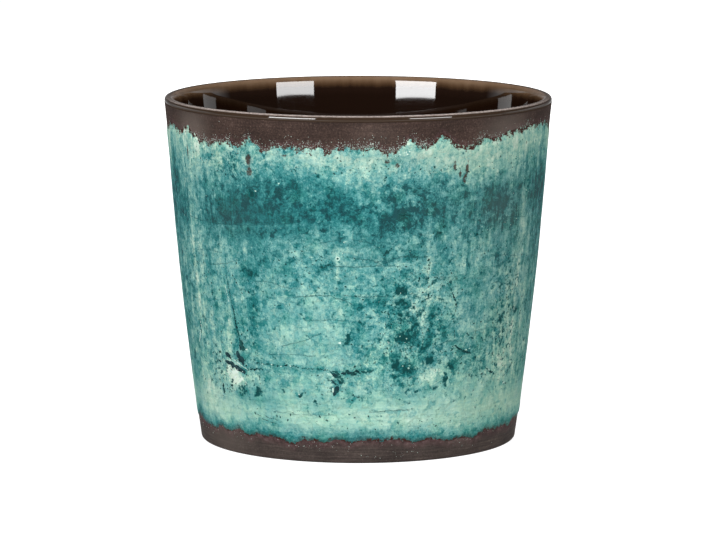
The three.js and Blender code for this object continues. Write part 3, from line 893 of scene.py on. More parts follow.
# %% Dark cracks, chips and specks
# Each line is (half width at its start, at its end, share that is filled, points of angle and height).
DARK_LINES = [
    (0.21, 0.90, 0.97, [(-45.9, 88.9), (-44.8, 81.8), (-44.2, 75.5), (-43.5, 72.1), (-43.1, 66.3),
                        (-42.2, 60.1), (-41.7, 55.7), (-40.8, 52.9)]),
    (0.52, 0.30, 0.90, [(-39.5, 43.4), (-36, 44.2), (-33, 44.6)]),
    (0.30, 0.36, 0.55, [(-35, 47.4), (-27, 47), (-21.5, 47.5), (-18, 46.5)]),
    (0.30, 0.45, 0.80, [(-18, 46.5), (-13.3, 46.6), (-7.5, 45.6)]),
    (0.68, 0.45, 0.85, [(-7.5, 45.6), (-5.5, 44.2), (-3.5, 45.2), (-1.6, 44.6), (-0.9, 46.2), (1, 45.4),
                        (5, 46.3)]),
    (0.60, 0.68, 0.85, [(-9.5, 44.5), (-7.5, 43.2), (-6, 43.2), (-5, 41)]),
    (0.50, 0.70, 0.85, [(-9.0, 45.4), (-8, 43.8), (-6.5, 41.6), (-5.2, 39.4)]),
    (0.33, 0.38, 0.75, [(-10.3, 41.8), (-8.5, 40.2), (-6, 38.5), (-3.8, 36.1)]),
    (0.83, 0.90, 0.95, [(-7.6, 38.4), (-6.9, 36.8), (-7.4, 34.4)]),
    (0.42, 0.34, 0.80, [(-2.1, 34.2), (-0.6, 33.2), (0.8, 32.6)]),
    (0.20, 0.20, 0.70, [(-2.6, 31.4), (1.0, 31.4)]),
    (0.17, 0.13, 0.80, [(-37, 21.6), (-34.5, 20.6)]),
    (0.17, 0.13, 0.80, [(-35, 19.6), (-32.5, 19)]),
    (0.18, 0.13, 0.80, [(-33.4, 21.2), (-31, 20.2)]),
    (0.15, 0.12, 0.80, [(-31.6, 18.6), (-29.2, 18)]),
    (0.15, 0.12, 0.80, [(-30.4, 20.6), (-28.2, 19.6)]),
    (0.21, 0.68, 0.75, [(28.7, 87.3), (30, 84.5), (31.1, 81.2), (32, 78.5), (32.5, 76.1)]),
    (0.24, 0.24, 0.45, [(32.5, 76.1), (32.2, 72.5), (31.6, 69.5), (32.4, 64), (32.6, 60)]),
    (0.45, 0.68, 0.85, [(32.7, 57), (34.5, 54.2), (37.3, 52.8), (39.8, 51.4)]),
    (0.42, 0.42, 0.80, [(37.2, 61.7), (38.6, 60.2), (40.4, 58.3)]),
    (0.42, 0.57, 0.85, [(46.6, 43.8), (49.2, 41.4), (52.5, 38.7)]),
    (0.33, 0.27, 0.70, [(57.5, 33.8), (59, 33), (61, 32.4)]),
    (0.54, 0.42, 0.90, [(64, 42.7), (62.5, 40.5), (60.3, 37.6)]),
    (0.45, 0.39, 0.90, [(74.4, 43.3), (75.6, 40)]),
    (0.33, 0.33, 0.85, [(-63.1, 61.5), (-63, 59), (-63.5, 57)]),
    (0.52, 0.45, 0.85, [(7.6, 102.6), (9.2, 104), (10.4, 106)]),
    (0.45, 0.33, 0.80, [(14, 101.4), (18.3, 101.2)]),
    (0.39, 0.39, 0.80, [(-10.5, 96), (-9, 97.6), (-7.8, 98.2)]),
    (0.45, 0.30, 0.80, [(12, 121.6), (15.5, 121.2)]),
    (0.21, 0.75, 0.95, [(112, 92), (115, 78), (113, 66), (117, 55)]),
    (0.38, 0.45, 0.70, [(102, 48), (111, 45), (122, 47), (133, 43), (141, 45)]),
    (0.21, 0.83, 0.95, [(-118, 86), (-121, 70), (-117, 57), (-119, 46)]),
    (0.38, 0.45, 0.70, [(-150, 44), (-140, 47), (-127, 43), (-116, 46), (-104, 44)]),
    (0.21, 0.60, 0.80, [(158, 84), (161, 69), (159, 55)]),
]
# Each single mark is (angle, height, half length, half width, tilt in degrees).
SLATE_CHIPS = [
    (-48.4, 45.6, 2.5, 1.1, -18), (-46.2, 44.6, 2.6, 1.7, -20), (-43.8, 43.4, 2.8, 1.9, -22),
    (-41.6, 42.2, 2.3, 1.6, -20), (-43, 50, 2.2, 1.6, -55), (-42, 48.2, 2.6, 2, -50),
    (-48.4, 49.2, 2.6, 1.1, -22), (-41.9, 54.2, 1.8, 0.9, 100), (-7.6, 44, 1.9, 0.9, -35),
    (-5, 44.8, 1.8, 0.7, 10), (-8.4, 40.8, 1.8, 0.6, -45), (-7.1, 37, 2, 1.3, 70),
    (-2.6, 45, 1.3, 0.5, 15), (-41.2, 46.6, 1.6, 1, -45), (-46.9, 48, 1.4, 0.7, -40),
    (-7.8, 34.7, 1.4, 1, 60), (-44.6, 50, 0.7, 0.5, 0), (-39.9, 45.2, 0.7, 0.5, 0),
    (113, 47, 2.6, 1.3, 20), (115, 45.4, 2, 1.1, 10), (-118.4, 46.8, 2.4, 1.4, -30),
    (-116.6, 45.2, 1.8, 1, -20), (159.6, 54, 1.2, 0.9, 0),
]
DARK_DOTS = [
    (-35, 47.4, 0.9, 0.6, 20), (-31.1, 47.4, 0.7, 0.45, 0), (-27.3, 46.9, 0.8, 0.5, 30),
    (-24, 47.7, 0.6, 0.4, 0), (-21.5, 47.5, 0.6, 0.4, 0), (-52.4, 33.4, 1.1, 0.8, 60),
    (-52.2, 30.4, 1.3, 0.9, 80), (-47.2, 35.9, 0.9, 0.6, 0), (-54, 36, 0.6, 0.5, 0),
    (-45.5, 35.4, 0.5, 0.4, 0), (-19.5, 32.8, 1.3, 0.9, 20), (-14.6, 30.6, 1, 0.5, 0),
    (31.6, 69.5, 1.1, 0.35, 20), (22, 99.2, 0.8, 0.5, 90), (22.1, 96.8, 0.6, 0.45, 90),
    (22.2, 90.4, 0.9, 0.5, 90), (22.4, 82.1, 1.1, 0.5, 90), (22.2, 86, 0.5, 0.35, 90),
    (39, 109.6, 0.75, 0.65, 0), (41, 110.8, 0.45, 0.4, 0), (-6.2, 100.7, 0.55, 0.55, 0),
    (-17.8, 34.5, 0.5, 0.4, 0), (45.6, 40.2, 0.7, 0.6, 0), (-41, 36.2, 0.6, 0.4, 30),
    (-11.2, 96.4, 0.9, 0.8, 0), (25.4, 112, 1, 0.7, 0), (26.8, 115, 1.2, 0.8, 30),
    (49, 64.8, 0.6, 0.4, 90), (-52.3, 49.9, 1.4, 0.6, 10), (-52.8, 45.2, 1.6, 0.7, -15),
    (-41.2, 56.4, 1.6, 1, -60), (-40.6, 54.4, 1.2, 0.8, -40), (-40.4, 53.2, 1, 0.6, 0),
    (-47, 37, 1, 0.7, 0), (-47.5, 34.2, 1.1, 0.8, 20), (-1.1, 48.2, 0.9, 0.6, 60),
    (-3.5, 45.8, 1.2, 0.9, 0), (-0.2, 45.8, 1.1, 0.8, 0), (1.9, 45.5, 1, 0.6, 0), (4, 45.7, 0.9, 0.7, 20),
    (-1.4, 44.4, 1.8, 0.6, 15),
]
# Each patch of specks is (angle, height, spread in degrees, spread in mm, count).
DARK_PATCHES = [
    (14, 66, 9, 20, 150), (10, 80, 12, 9, 60), (30, 52, 7, 9, 60), (-53, 36, 8, 6, 45),
    (-52, 85, 10, 18, 80), (-66, 90, 6, 26, 50), (-40, 60, 5, 16, 40), (-20, 99, 14, 7, 50),
    (35, 104, 12, 10, 60), (20, 95, 7, 12, 70), (-8, 40, 8, 4, 40), (-48, 32, 8, 3, 30),
    (40, 70, 12, 22, 60), (62, 70, 8, 30, 60), (-45, 143, 10, 5, 60), (0, 144, 16, 4, 50),
    (25, 142, 10, 4, 40), (60, 145, 14, 6, 50), (-22, 22, 20, 3, 40), (30, 20, 24, 3, 50),
    (115, 80, 20, 36, 260), (155, 78, 18, 36, 260), (-165, 80, 18, 36, 260), (-125, 78, 20, 36, 260),
]
# A crack soaks the glaze on both sides of it, over so many millimetres.
CRACK_STAIN = 1.4
crack_lines = [(min(start, end), line) for start, end, _, line in DARK_LINES]
_, crack_gap, crack_width = line_distance(face_angle, face_level, crack_lines)
write_field(coat.data, "stain", with_back(crack_width * np.exp(-((crack_gap / CRACK_STAIN) ** 2))))
dark_marks = chain(DARK_LINES, seed=81) + DARK_DOTS
dark_marks += scattered(DARK_PATCHES, small=0.13, large=0.55, seed=82)
cracks = domes("dark_cracks", dark_marks, coat_radius, lift=0.04, seed=83)
chips = domes("slate_chips", SLATE_CHIPS, coat_radius, lift=0.05, seed=89)
print("dark marks:", len(dark_marks), "chips:", len(SLATE_CHIPS))

# %% White crust
PALE_LINES = [
    (0.26, 0.30, 0.97, [(-46.5, 48.0), (-43.5, 46.0), (-41, 44.4), (-39.5, 43.4)]),
    (0.18, 0.24, 0.80, [(-64, 67.7), (-63.3, 63), (-62.4, 58.7)]),
    (0.40, 0.30, 0.95, [(-64.1, 57.8), (-65.1, 54.1), (-66, 52)]),
    (0.22, 0.22, 0.70, [(-41.6, 40.4), (-40.4, 38), (-40.8, 35.8)]),
    (0.30, 0.30, 0.80, [(-48.8, 46.9), (-47, 46.3)]),
    (0.20, 0.20, 0.55, [(-46.6, 84), (-45.6, 78), (-44.8, 71)]),
    (0.35, 0.25, 0.80, [(111, 48.6), (116, 46.8)]),
    (0.35, 0.25, 0.80, [(-121, 48.2), (-116, 44.4)]),
]
PALE_DOTS = [
    (-39.2, 53.4, 0.9, 0.4, 20), (-8.4, 36.3, 1.3, 0.7, 80), (-9.3, 44, 1.5, 0.7, -25),
    (-8.4, 42.6, 0.9, 0.5, -30), (-33, 47, 0.45, 0.35, 0), (-29.5, 47.3, 0.5, 0.3, 0),
    (-26, 46.8, 0.45, 0.3, 0), (-22.7, 47.3, 0.4, 0.3, 0), (37.7, 53.5, 0.8, 0.4, 10),
    (39, 53.9, 0.45, 0.35, 0), (49.2, 41.6, 0.7, 0.5, 0), (45.4, 40.9, 0.5, 0.4, 0),
    (59, 33.2, 1.1, 0.5, 20), (74.5, 41.2, 0.6, 0.5, 90), (74.2, 35.5, 0.6, 0.5, 90),
    (15.6, 61.4, 0.5, 0.4, 0), (16.6, 46.8, 0.6, 0.45, 0), (-5.9, 59.6, 1, 0.5, -10),
    (14.6, 48, 0.4, 0.3, 0), (13.4, 62.6, 0.4, 0.3, 0), (-43.6, 40.2, 1.4, 0.9, -30),
    (-42.4, 38.2, 1.2, 0.9, 60), (-45.4, 41.2, 1.3, 0.6, -20), (-20, 33.6, 0.5, 0.4, 0),
    (-31.9, 131.6, 0.5, 0.4, 0), (-24, 136, 0.5, 0.4, 0), (-46.2, 40.8, 1.6, 1, -20),
    (-44.8, 41.6, 1.5, 0.8, -25), (-47.6, 41.4, 1.2, 0.7, -20), (-43.4, 37.4, 1.1, 0.8, 40),
    (-45.6, 38.6, 1.2, 0.8, 10), (113, 44.2, 1.5, 0.7, 0), (-118, 43.4, 1.7, 0.8, -10),
]
PALE_PATCHES = [
    (62, 118, 5, 18, 24), (45, 108, 9, 9, 10), (-62, 120, 5, 22, 24), (-5, 106, 16, 7, 8),
    (15, 63, 10, 20, 24), (-44, 40, 4, 3, 40), (12, 151, 4, 2, 40), (115, 100, 20, 34, 70),
    (155, 96, 18, 34, 70), (-165, 100, 18, 34, 70), (-125, 96, 20, 34, 70),
]
# A ring of crust round one dark speck.
EYE_RING = [(-6.2 + 0.55 * np.cos(a), 100.7 + 0.8 * np.sin(a), 0.45, 0.3, np.degrees(a) + 90)
            for a in np.radians(np.arange(0, 360, 40))]
pale_marks = chain(PALE_LINES, seed=84) + PALE_DOTS + EYE_RING
pale_marks += scattered(PALE_PATCHES, small=0.12, large=0.36, seed=85)
crumbs = domes("white_crust", pale_marks, coat_radius, lift=0.09, seed=86)
print("pale marks:", len(pale_marks))

# %% Spray on the bare clay
# Each patch of spray is (angle, spread in degrees, count). It lies on the bare clay above the coat.
SPRAY_PATCHES = [
    (-50, 7, 300), (-40, 6, 110), (-28, 7, 200), (-15, 8, 260), (2, 8, 520), (11, 3, 150), (19, 3, 240),
    (40, 8, 90), (75, 12, 40), (115, 14, 160), (150, 16, 200), (190, 18, 200), (230, 14, 160),
    (265, 14, 160),
]
SPRAY_FADE = 1.2
SPRAY_SIZES = (0.08, 0.22)
FOOT_DROPLETS = 160
FOOT_FADE = 1.6
FOOT_SIZES = (0.10, 0.26)
# Splashes on the foot, each (angle, height, count).
FOOT_SPLASHES = [
    (-18, 8, 14), (-7, 8.5, 12), (16, 5.5, 12), (-47, 10, 12), (4, 3, 8), (40, 8, 8), (110, 7, 14),
    (-130, 6, 14),
]
SPLASH_WIDTH = 2.6
SPLASH_HEIGHT = 1.4
SPLASH_SIZES = (0.08, 0.2)


def spray():
    """Droplets on the bare clay: a fog above the upper edge that thins upwards, and some on the foot."""
    draw = np.random.default_rng(87)
    places = []
    for centre, spread, count in SPRAY_PATCHES:
        angle = centre + spread * draw.normal(0, 0.6, count)
        height = coat_top(angle) + draw.exponential(SPRAY_FADE, count)
        places += zip(angle, height, draw.uniform(*SPRAY_SIZES, count))
    angle = draw.uniform(-180, 180, FOOT_DROPLETS)
    height = coat_bottom(angle) - draw.exponential(FOOT_FADE, FOOT_DROPLETS)
    places += zip(angle, height, draw.uniform(*FOOT_SIZES, FOOT_DROPLETS))
    for centre, middle, count in FOOT_SPLASHES:
        angle = draw.normal(centre, SPLASH_WIDTH, count)
        height = draw.normal(middle, SPLASH_HEIGHT, count)
        places += zip(angle, height, draw.uniform(*SPLASH_SIZES, count))
    return [(a, z, r, r, 0.0) for a, z, r in places if 1.5 < z < LIP_LEVEL - 2]


droplets = spray()
spatter = domes("glaze_spatter", droplets, lambda _, level: outer_radius(level), lift=0.06, seed=88)
print("droplets:", len(droplets))

# %% [markdown]
# ## Colour and nodes
# Colours are written as they look on a screen, as sRGB hex values, and one function turns them into the
# linear numbers that the renderer adds up. One small function adds a node, sets it and links it, so that a
# material below reads as a list of what goes into what. Patterns are laid out in millimetres: each is named
# with its scale, which is one over the width of its features, and then its detail and roughness. A range is
# named with the two values it starts from and the two it leads to.

# %% Helpers for materials
def linear(hex_colour):
    """Linear RGBA of an sRGB hex colour."""
    parts = [int(hex_colour[i : i + 2], 16) / 255 for i in (1, 3, 5)]
    return (*[p / 12.92 if p <= 0.04045 else ((p + 0.055) / 1.055) ** 2.4 for p in parts], 1.0)


def add(tree, kind, *values, named=None, stops=(), **settings):
    """Adds a node. Values go to its inputs in order, named ones by name, and stops fill a colour ramp."""
    made = tree.nodes.new("ShaderNode" + kind)
    for name, value in settings.items():
        setattr(made, name, value)
    shown = [socket for socket in made.inputs if socket.enabled]
    by_name = [(made.inputs[name], value) for name, value in (named or {}).items()]
    for socket, value in [*zip(shown, values), *by_name]:
        if isinstance(value, bpy.types.Node):
            value = next(output for output in value.outputs if output.enabled)
        if isinstance(value, bpy.types.NodeSocket):
            tree.links.new(value, socket)
        else:
            socket.default_value = value
    for number, (place, hex_colour) in enumerate(stops):
        elements = made.color_ramp.elements
        stop = elements[number] if number < len(elements) else elements.new(place)
        stop.position = place
        stop.color = linear(hex_colour)
    return made


def new_material(name):
    """An empty node material, and its position in mm as the coordinate for patterns."""
    material = bpy.data.materials.new(name)
    material.use_nodes = True
    tree = material.node_tree
    tree.nodes.clear()
    where = add(tree, "TexCoord").outputs["Object"]
    return material, tree, add(tree, "VectorMath", where, METRE, operation="SCALE").outputs[0]


print("mid grey in linear light:", round(linear("#808080")[0], 3))

# %% [markdown]
# ## Fired stoneware
# The bare bands are dark stoneware, turned while damp and fired without glaze. It is satin to the eye: a
# purple brown with grey and reddish drifts, fine pale grains, and a redder line where the glaze ran out
# over it. The foot shows more of the turning lines, and the rim is sandier and caught a spray of glaze.
# Paler patches on the sides of the rim and of the foot are painted sheen.

# %% Material: dark stoneware
CLAY_DRIFT = (1 / 24, 4.0, 0.65)
CLAY_LINES = (1 / 0.9, 3.0, 0.7)
CLAY_GRIT = (1 / 0.8, 3.0, 0.7)
GLAZE_STAIN = (1 / 2.5, 4.0, 0.7)
FINE_SPRAY = (1 / 1.1, 3.0, 0.8)
SPRAY_PATCH = (1 / 14, 1.0)
LINE_STRETCH = (0.05, 0.05, 1.0)
FOOT_TO_RIM = (20.0, 140.0)
LINE_SHARE = (0, 1, 1.0, 0.45)
GRIT_SHARE = (0, 1, 0.7, 1.2)
TONE_RANGE = (0.95, 1.75)
GRAIN_RANGE = (0.66, 0.76)
FLUSH_RANGE = (0.5, 4.5, 0.8, 0.0)
SPRAY_RANGE = (0.78, 0.84, 0, 0.75)
RIM_CLAY = [(0.0, "#1C1310"), (0.4, "#322520"), (0.7, "#44342E"), (1.0, "#635149")]
FOOT_CLAY = [(0.0, "#251D1A"), (0.4, "#38302D"), (0.7, "#473D39"), (1.0, "#60544D")]
STAINED_CLAY = [(0.36, "#2E2120"), (0.48, "#4A3334"), (0.58, "#5C4344"), (0.68, "#75605E")]
CLAY_RELIEF = 0.1


def dark_stoneware():
    """Bare fired stoneware: dull satin purple brown, turning lines, pale grains, a reddish line, painted
    sheen.
    """
    material, tree, mm = new_material("dark_stoneware")
    along = add(tree, "VectorMath", mm, LINE_STRETCH, operation="MULTIPLY")
    drift = add(tree, "TexNoise", mm, *CLAY_DRIFT)
    lines = add(tree, "TexNoise", along, *CLAY_LINES)
    grit = add(tree, "TexNoise", mm, *CLAY_GRIT)
    level = add(tree, "SeparateXYZ", mm).outputs["Z"]
    upper = add(tree, "MapRange", level, *FOOT_TO_RIM)
    lined = add(tree, "MapRange", upper, *LINE_SHARE)
    sandy = add(tree, "MapRange", upper, *GRIT_SHARE)
    tone = add(tree, "Math", lines, lined, drift, operation="MULTIPLY_ADD")
    tone = add(tree, "Math", grit, sandy, tone, operation="MULTIPLY_ADD")
    tone = add(tree, "MapRange", tone, *TONE_RANGE)
    rim = add(tree, "ValToRGB", tone, stops=RIM_CLAY)
    foot = add(tree, "ValToRGB", tone, stops=FOOT_CLAY)
    body = add(tree, "Mix", upper, foot, rim, data_type="RGBA")
    grain = add(tree, "MapRange", grit, *GRAIN_RANGE)
    grain = add(tree, "Math", grain, 0.5, operation="MULTIPLY")
    body = add(tree, "Mix", grain, body, linear("#8F8074"), data_type="RGBA")
    gap = add(tree, "Attribute", attribute_name="from_edge").outputs["Fac"]
    flush = add(tree, "MapRange", gap, *FLUSH_RANGE)
    stain = add(tree, "TexNoise", mm, *GLAZE_STAIN)
    stain = add(tree, "ValToRGB", stain, stops=STAINED_CLAY)
    body = add(tree, "Mix", flush, body, stain, data_type="RGBA")
    # Painted sheen: the clay turns paler in dabs on the sides of the rim and the foot.
    painted_sheen = add(tree, "Attribute", attribute_name="painted_sheen").outputs["Fac"]
    body = add(tree, "Mix", painted_sheen, body, linear("#7C7068"), data_type="RGBA")
    mist = add(tree, "TexNoise", mm, *FINE_SPRAY)
    patch = add(tree, "TexNoise", mm, *SPRAY_PATCH)
    dense = add(tree, "Math", patch, 0.45, mist, operation="MULTIPLY_ADD")
    dense = add(tree, "Math", gap, -0.035, dense, operation="MULTIPLY_ADD")
    mist = add(tree, "MapRange", dense, *SPRAY_RANGE)
    mist = add(tree, "Math", mist, upper, operation="MULTIPLY")
    body = add(tree, "Mix", mist, body, linear("#93A99C"), data_type="RGBA")
    relief = add(tree, "Bump", named={"Height": tone, "Strength": 0.35, "Distance": CLAY_RELIEF / METRE})
    surface = add(tree, "BsdfPrincipled", named={
        "Base Color": body, "Roughness": 0.85, "IOR": 1.5, "Specular IOR Level": 0.25, "Normal": relief,
    })
    add(tree, "OutputMaterial", surface)
    return material


clay_shell.data.materials.append(dark_stoneware())
print("material:", clay_shell.data.materials[0].name)

# %% [markdown]
# ## Glossy brown glaze
# The lining is a clear brown glass over dark clay. Where it lies thick it is nearly black, and where it is
# drawn thin near the lip it breaks to olive and then to tan. Thickness follows the height, so a ramp over
# the last few millimetres gives the colour, with upright runs in it. The brink of the lip is dark, a pale
# line along the top of the lip at the front is a painted highlight, and the outer shoulder is dull. The
# polish shows the two lamps as clean bright shapes.

# %% Material: glossy brown glaze
GLAZE_RUNS = (1 / 6, 4.0, 0.6)
RUN_STRETCH = (1.0, 1.0, 0.12)
RUN_REACH = 3.0
CREST_SHEEN_SPECKS = (1 / 1.2, 3.0, 0.7)
CREST_SHEEN_SPECK_RANGE = (0.35, 0.6, 0.45, 1.0)
THIN_RANGE = (HEIGHT - 8, HEIGHT + 1.5)
THIN_COLOURS = [
    (0.0, "#170B05"), (0.40, "#1E110A"), (0.55, "#3C2A1B"), (0.68, "#543F2D"), (0.84, "#6C5642"),
    (1.0, "#7A6350"),
]
BRINK_RANGE = (LIP_CENTRE - 1.3, LIP_CENTRE - 0.4)
SHOULDER_OUT = (LIP_CENTRE + 0.3, LIP_CENTRE + 1.3)
SHOULDER_LEVEL = (LIP_LEVEL + 0.3, LIP_LEVEL + 0.8, 1.0, 0.0)
SHOULDER_ROUGHNESS = (0, 1, 0.025, 0.85)
SHOULDER_SHINE = (0, 1, 0.5, 0.1)
CREST_SHEEN_OUT = (LIP_CENTRE + 1.5, LIP_CENTRE + 2.0, 1.0, 0.0)
CREST_SHEEN_FRONT = (-60.0, 40.0, 1.0, 0.0)
CREST_SHEEN_LEVEL = (LIP_LEVEL, LIP_LEVEL + 1.0)


def glossy_brown_glaze():
    """A deep, mirror bright brown glaze, lighter where it thins near the lip, with a painted highlight on the
    lip.
    """
    material, tree, mm = new_material("glossy_brown_glaze")
    upright = add(tree, "VectorMath", mm, RUN_STRETCH, operation="MULTIPLY")
    runs = add(tree, "TexNoise", upright, *GLAZE_RUNS)
    place = add(tree, "SeparateXYZ", mm)
    height = place.outputs["Z"]
    thin = add(tree, "Math", runs, RUN_REACH, height, operation="MULTIPLY_ADD")
    thin = add(tree, "MapRange", thin, *THIN_RANGE)
    body = add(tree, "ValToRGB", thin, stops=THIN_COLOURS)
    flat = add(tree, "VectorMath", mm, (1.0, 1.0, 0.0), operation="MULTIPLY")
    out = add(tree, "VectorMath", flat, operation="LENGTH").outputs["Value"]
    brink = add(tree, "MapRange", out, *BRINK_RANGE)
    body = add(tree, "Mix", brink, body, linear("#36291F"), data_type="RGBA")
    outside = add(tree, "MapRange", out, *SHOULDER_OUT)
    dull = add(tree, "MapRange", height, *SHOULDER_LEVEL)
    dull = add(tree, "Math", dull, outside, operation="MULTIPLY")
    rough = add(tree, "MapRange", dull, *SHOULDER_ROUGHNESS)
    shine = add(tree, "MapRange", dull, *SHOULDER_SHINE)
    # A pale line painted along the top of the lip, at the front only: a painted highlight, broken into
    # specks.
    painted_sheen = add(tree, "MapRange", out, *CREST_SHEEN_OUT)
    front = add(tree, "MapRange", place.outputs["Y"], *CREST_SHEEN_FRONT)
    top = add(tree, "MapRange", height, *CREST_SHEEN_LEVEL)
    sheen_specks = add(tree, "TexNoise", mm, *CREST_SHEEN_SPECKS)
    sheen_specks = add(tree, "MapRange", sheen_specks, *CREST_SHEEN_SPECK_RANGE)
    for part in (front, top, sheen_specks):
        painted_sheen = add(tree, "Math", painted_sheen, part, operation="MULTIPLY")
    body = add(tree, "Mix", painted_sheen, body, linear("#BBAEA8"), data_type="RGBA")
    surface = add(tree, "BsdfPrincipled", named={
        "Base Color": body, "Roughness": rough, "IOR": 1.6, "Specular IOR Level": shine,
    })
    add(tree, "OutputMaterial", surface)
    return material


lining.data.materials.append(glossy_brown_glaze())
print("material:", lining.data.materials[0].name)

# %% [markdown]
# ## Mottled turquoise glaze
# A copper glaze that crawled and crazed: opaque mint crust where it lies dry and thick, clear teal where it
# melted. The melt field sets how far it went, and noise from 18 mm clouds down to freckles of a millimetre
# roughens it, with flakes, veins and a haze. The noise is read in space and not on the unrolled wall, so
# the pattern has no seam. The colour then follows the melt: chalk and dust make it paler, and blots and
# specks of clear glass darker. Hairlines are drawn where their distance field crosses zero. The edge lets
# the reddish clay through in an uneven line, and the glaze is thin just above its lower edge. A function
# makes each of these, and the last one puts them together.

# %% Melt of the turquoise glaze
# Each layer of mottling is (width in mm, stretch upright, detail, roughness, share of the melt, field that
# scales it).
MOTTLING = [
    (18, 1.0, 2.0, 0.5, 0.45, "grain"),
    (3.2, 1.0, 5.0, 0.85, 0.85, "grain"),
    (3.2, 14.0, 4.0, 0.8, 0.85, "streak"),
    (14, 0.08, 3.0, 0.6, 0.3, "brush"),
    (0.9, 1.0, 2.0, 0.6, 0.4, "grain"),
]
CRUST = (1 / 5.5, 7.0, 0.72)
CRUST_RANGE = (0.47, 0.53, 0.5, -0.5)
CRUST_MELT = 0.13
# Each set of veins is (width of a loop in mm, half width of the line as a share of the noise, darkening).
VEINS = [(8, 0.025, -0.13), (5, 0.02, 0.14)]
VEIN_SHIFT = 50.0
VEIN_FINENESS = (5.0, 0.65)
# Each set of flakes is (width of a flake in mm, step of the melt from flake to flake).
FLAKES = [(4.2, 0.14), (2, 0.14)]
HAZE = (1 / 5.0, 3.0, 0.6)
HAZE_RANGE = (0.58, 0.68)
HAZE_MELT = 0.2
STAIN_MELT = 0.4
MELT_SHIFT = 0.03


def mottled_melt(tree, mm, bent, fields):
    """The melt, broken up by all the patterns, and the two of them that also give relief."""
    melt, layers = fields["melt"], []
    for width, stretch, detail, rough, share, field in MOTTLING:
        where = add(tree, "VectorMath", mm, (1.0, 1.0, 1 / stretch), operation="MULTIPLY")
        layers.append(add(tree, "TexNoise", where, 1 / width, detail, rough))
        swing = add(tree, "Math", layers[-1], 0.5, operation="SUBTRACT")
        swing = add(tree, "Math", swing, fields[field], operation="MULTIPLY")
        melt = add(tree, "Math", swing, share, melt, operation="MULTIPLY_ADD")
    crust = add(tree, "TexNoise", mm, *CRUST)
    crust = add(tree, "MapRange", crust, *CRUST_RANGE)
    patchy = add(tree, "Math", crust, fields["grain"], operation="MULTIPLY")
    melt = add(tree, "Math", patchy, CRUST_MELT, melt, operation="MULTIPLY_ADD")
    for number, (width, half, darkening) in enumerate(VEINS):
        where = add(tree, "VectorMath", mm, (VEIN_SHIFT * number, 0.0, 0.0), operation="ADD")
        loops = add(tree, "TexNoise", where, 1 / width, *VEIN_FINENESS)
        away = add(tree, "Math", loops, 0.5, operation="SUBTRACT")
        away = add(tree, "Math", away, operation="ABSOLUTE")
        vein = add(tree, "MapRange", away, 0, half, 1.0, 0.0)
        vein = add(tree, "Math", vein, fields["grain"], operation="MULTIPLY")
        melt = add(tree, "Math", vein, darkening, melt, operation="MULTIPLY_ADD")
    for width, step in FLAKES:
        cells = add(tree, "TexVoronoi", bent, 1 / width)
        drawn = add(tree, "SeparateColor", cells.outputs["Color"]).outputs["Green"]
        swing = add(tree, "Math", drawn, 0.5, operation="SUBTRACT")
        swing = add(tree, "Math", swing, fields["grain"], operation="MULTIPLY")
        melt = add(tree, "Math", swing, step, melt, operation="MULTIPLY_ADD")
    haze = add(tree, "TexNoise", bent, *HAZE)
    haze = add(tree, "Math", fields["stipple"], 0.06, haze, operation="MULTIPLY_ADD")
    haze = add(tree, "MapRange", haze, *HAZE_RANGE, interpolation_type="SMOOTHSTEP")
    melt = add(tree, "Math", haze, HAZE_MELT, melt, operation="MULTIPLY_ADD")
    melt = add(tree, "Math", fields["stain"], STAIN_MELT, melt, operation="MULTIPLY_ADD")
    melt = add(tree, "Math", melt, MELT_SHIFT, operation="SUBTRACT")
    return melt, crust, layers[1]


print("mottling from", max(layer[0] for layer in MOTTLING), "to", min(layer[0] for layer in MOTTLING), "mm")

# %% Freckles of clear glass
BLOT = (1 / 2.8, 4.0, 0.62)
SPECK = (1 / 1.3, 3.0, 0.7)
DARK_RANGE = (0.645, 0.76, 0, 0.88)
CORE_RANGE = (0.92, 0.99, 0, 0.9)
DOT_RANGE = (0.70, 0.73, 0, 0.8)


def clear_freckles(tree, mm, fields):
    """Masks of the clear dark glass: how deep it pools, the blots, and the pits and specks in them."""
    blot = add(tree, "TexNoise", mm, *BLOT)
    speck = add(tree, "TexNoise", mm, *SPECK)
    pull = add(tree, "Math", fields["stipple"], 0.09, blot, operation="MULTIPLY_ADD")
    pull = add(tree, "Math", fields["spot"], 0.20, pull, operation="MULTIPLY_ADD")
    dark = add(tree, "MapRange", pull, *DARK_RANGE, interpolation_type="SMOOTHSTEP")
    core = add(tree, "Math", speck, 0.35, pull, operation="MULTIPLY_ADD")
    core = add(tree, "MapRange", core, *CORE_RANGE)
    dots = add(tree, "Math", fields["stipple"], 0.08, speck, operation="MULTIPLY_ADD")
    dots = add(tree, "MapRange", dots, *DOT_RANGE)
    return pull, dark, add(tree, "Math", core, dots, operation="MAXIMUM")


print("blots", round(1 / BLOT[0], 1), "mm and specks", round(1 / SPECK[0], 1), "mm wide")

# %% Colour of the turquoise glaze
MELT_COLOURS = [
    (0.0, "#D6EADA"), (0.15, "#AED5C3"), (0.35, "#87BBB2"), (0.52, "#5F9F9D"), (0.68, "#368586"),
    (0.84, "#126A6D"), (1.0, "#004146"),
]
MELT_GREENS = [
    (0.0, "#D5EBD7"), (0.15, "#ACD6BE"), (0.35, "#84BCAC"), (0.52, "#5BA096"), (0.68, "#33867E"),
    (0.84, "#0F6A65"), (1.0, "#004240"),
]
POOL_COLOURS = [(0.0, "#2A857F"), (0.35, "#006062"), (1.0, "#00464A")]
GREEN_DRIFT = (1 / 9, 4.0, 0.65)
GREEN_RANGE = (0.35, 0.7, -0.5, 0.7)
CHALK_RANGE = (0.1, 0.6, 1.0, 0.0)
DUST_RANGE = (0.45, 0.9, 1.0, 0.3)
POOL_RANGE = (0.66, 0.90)


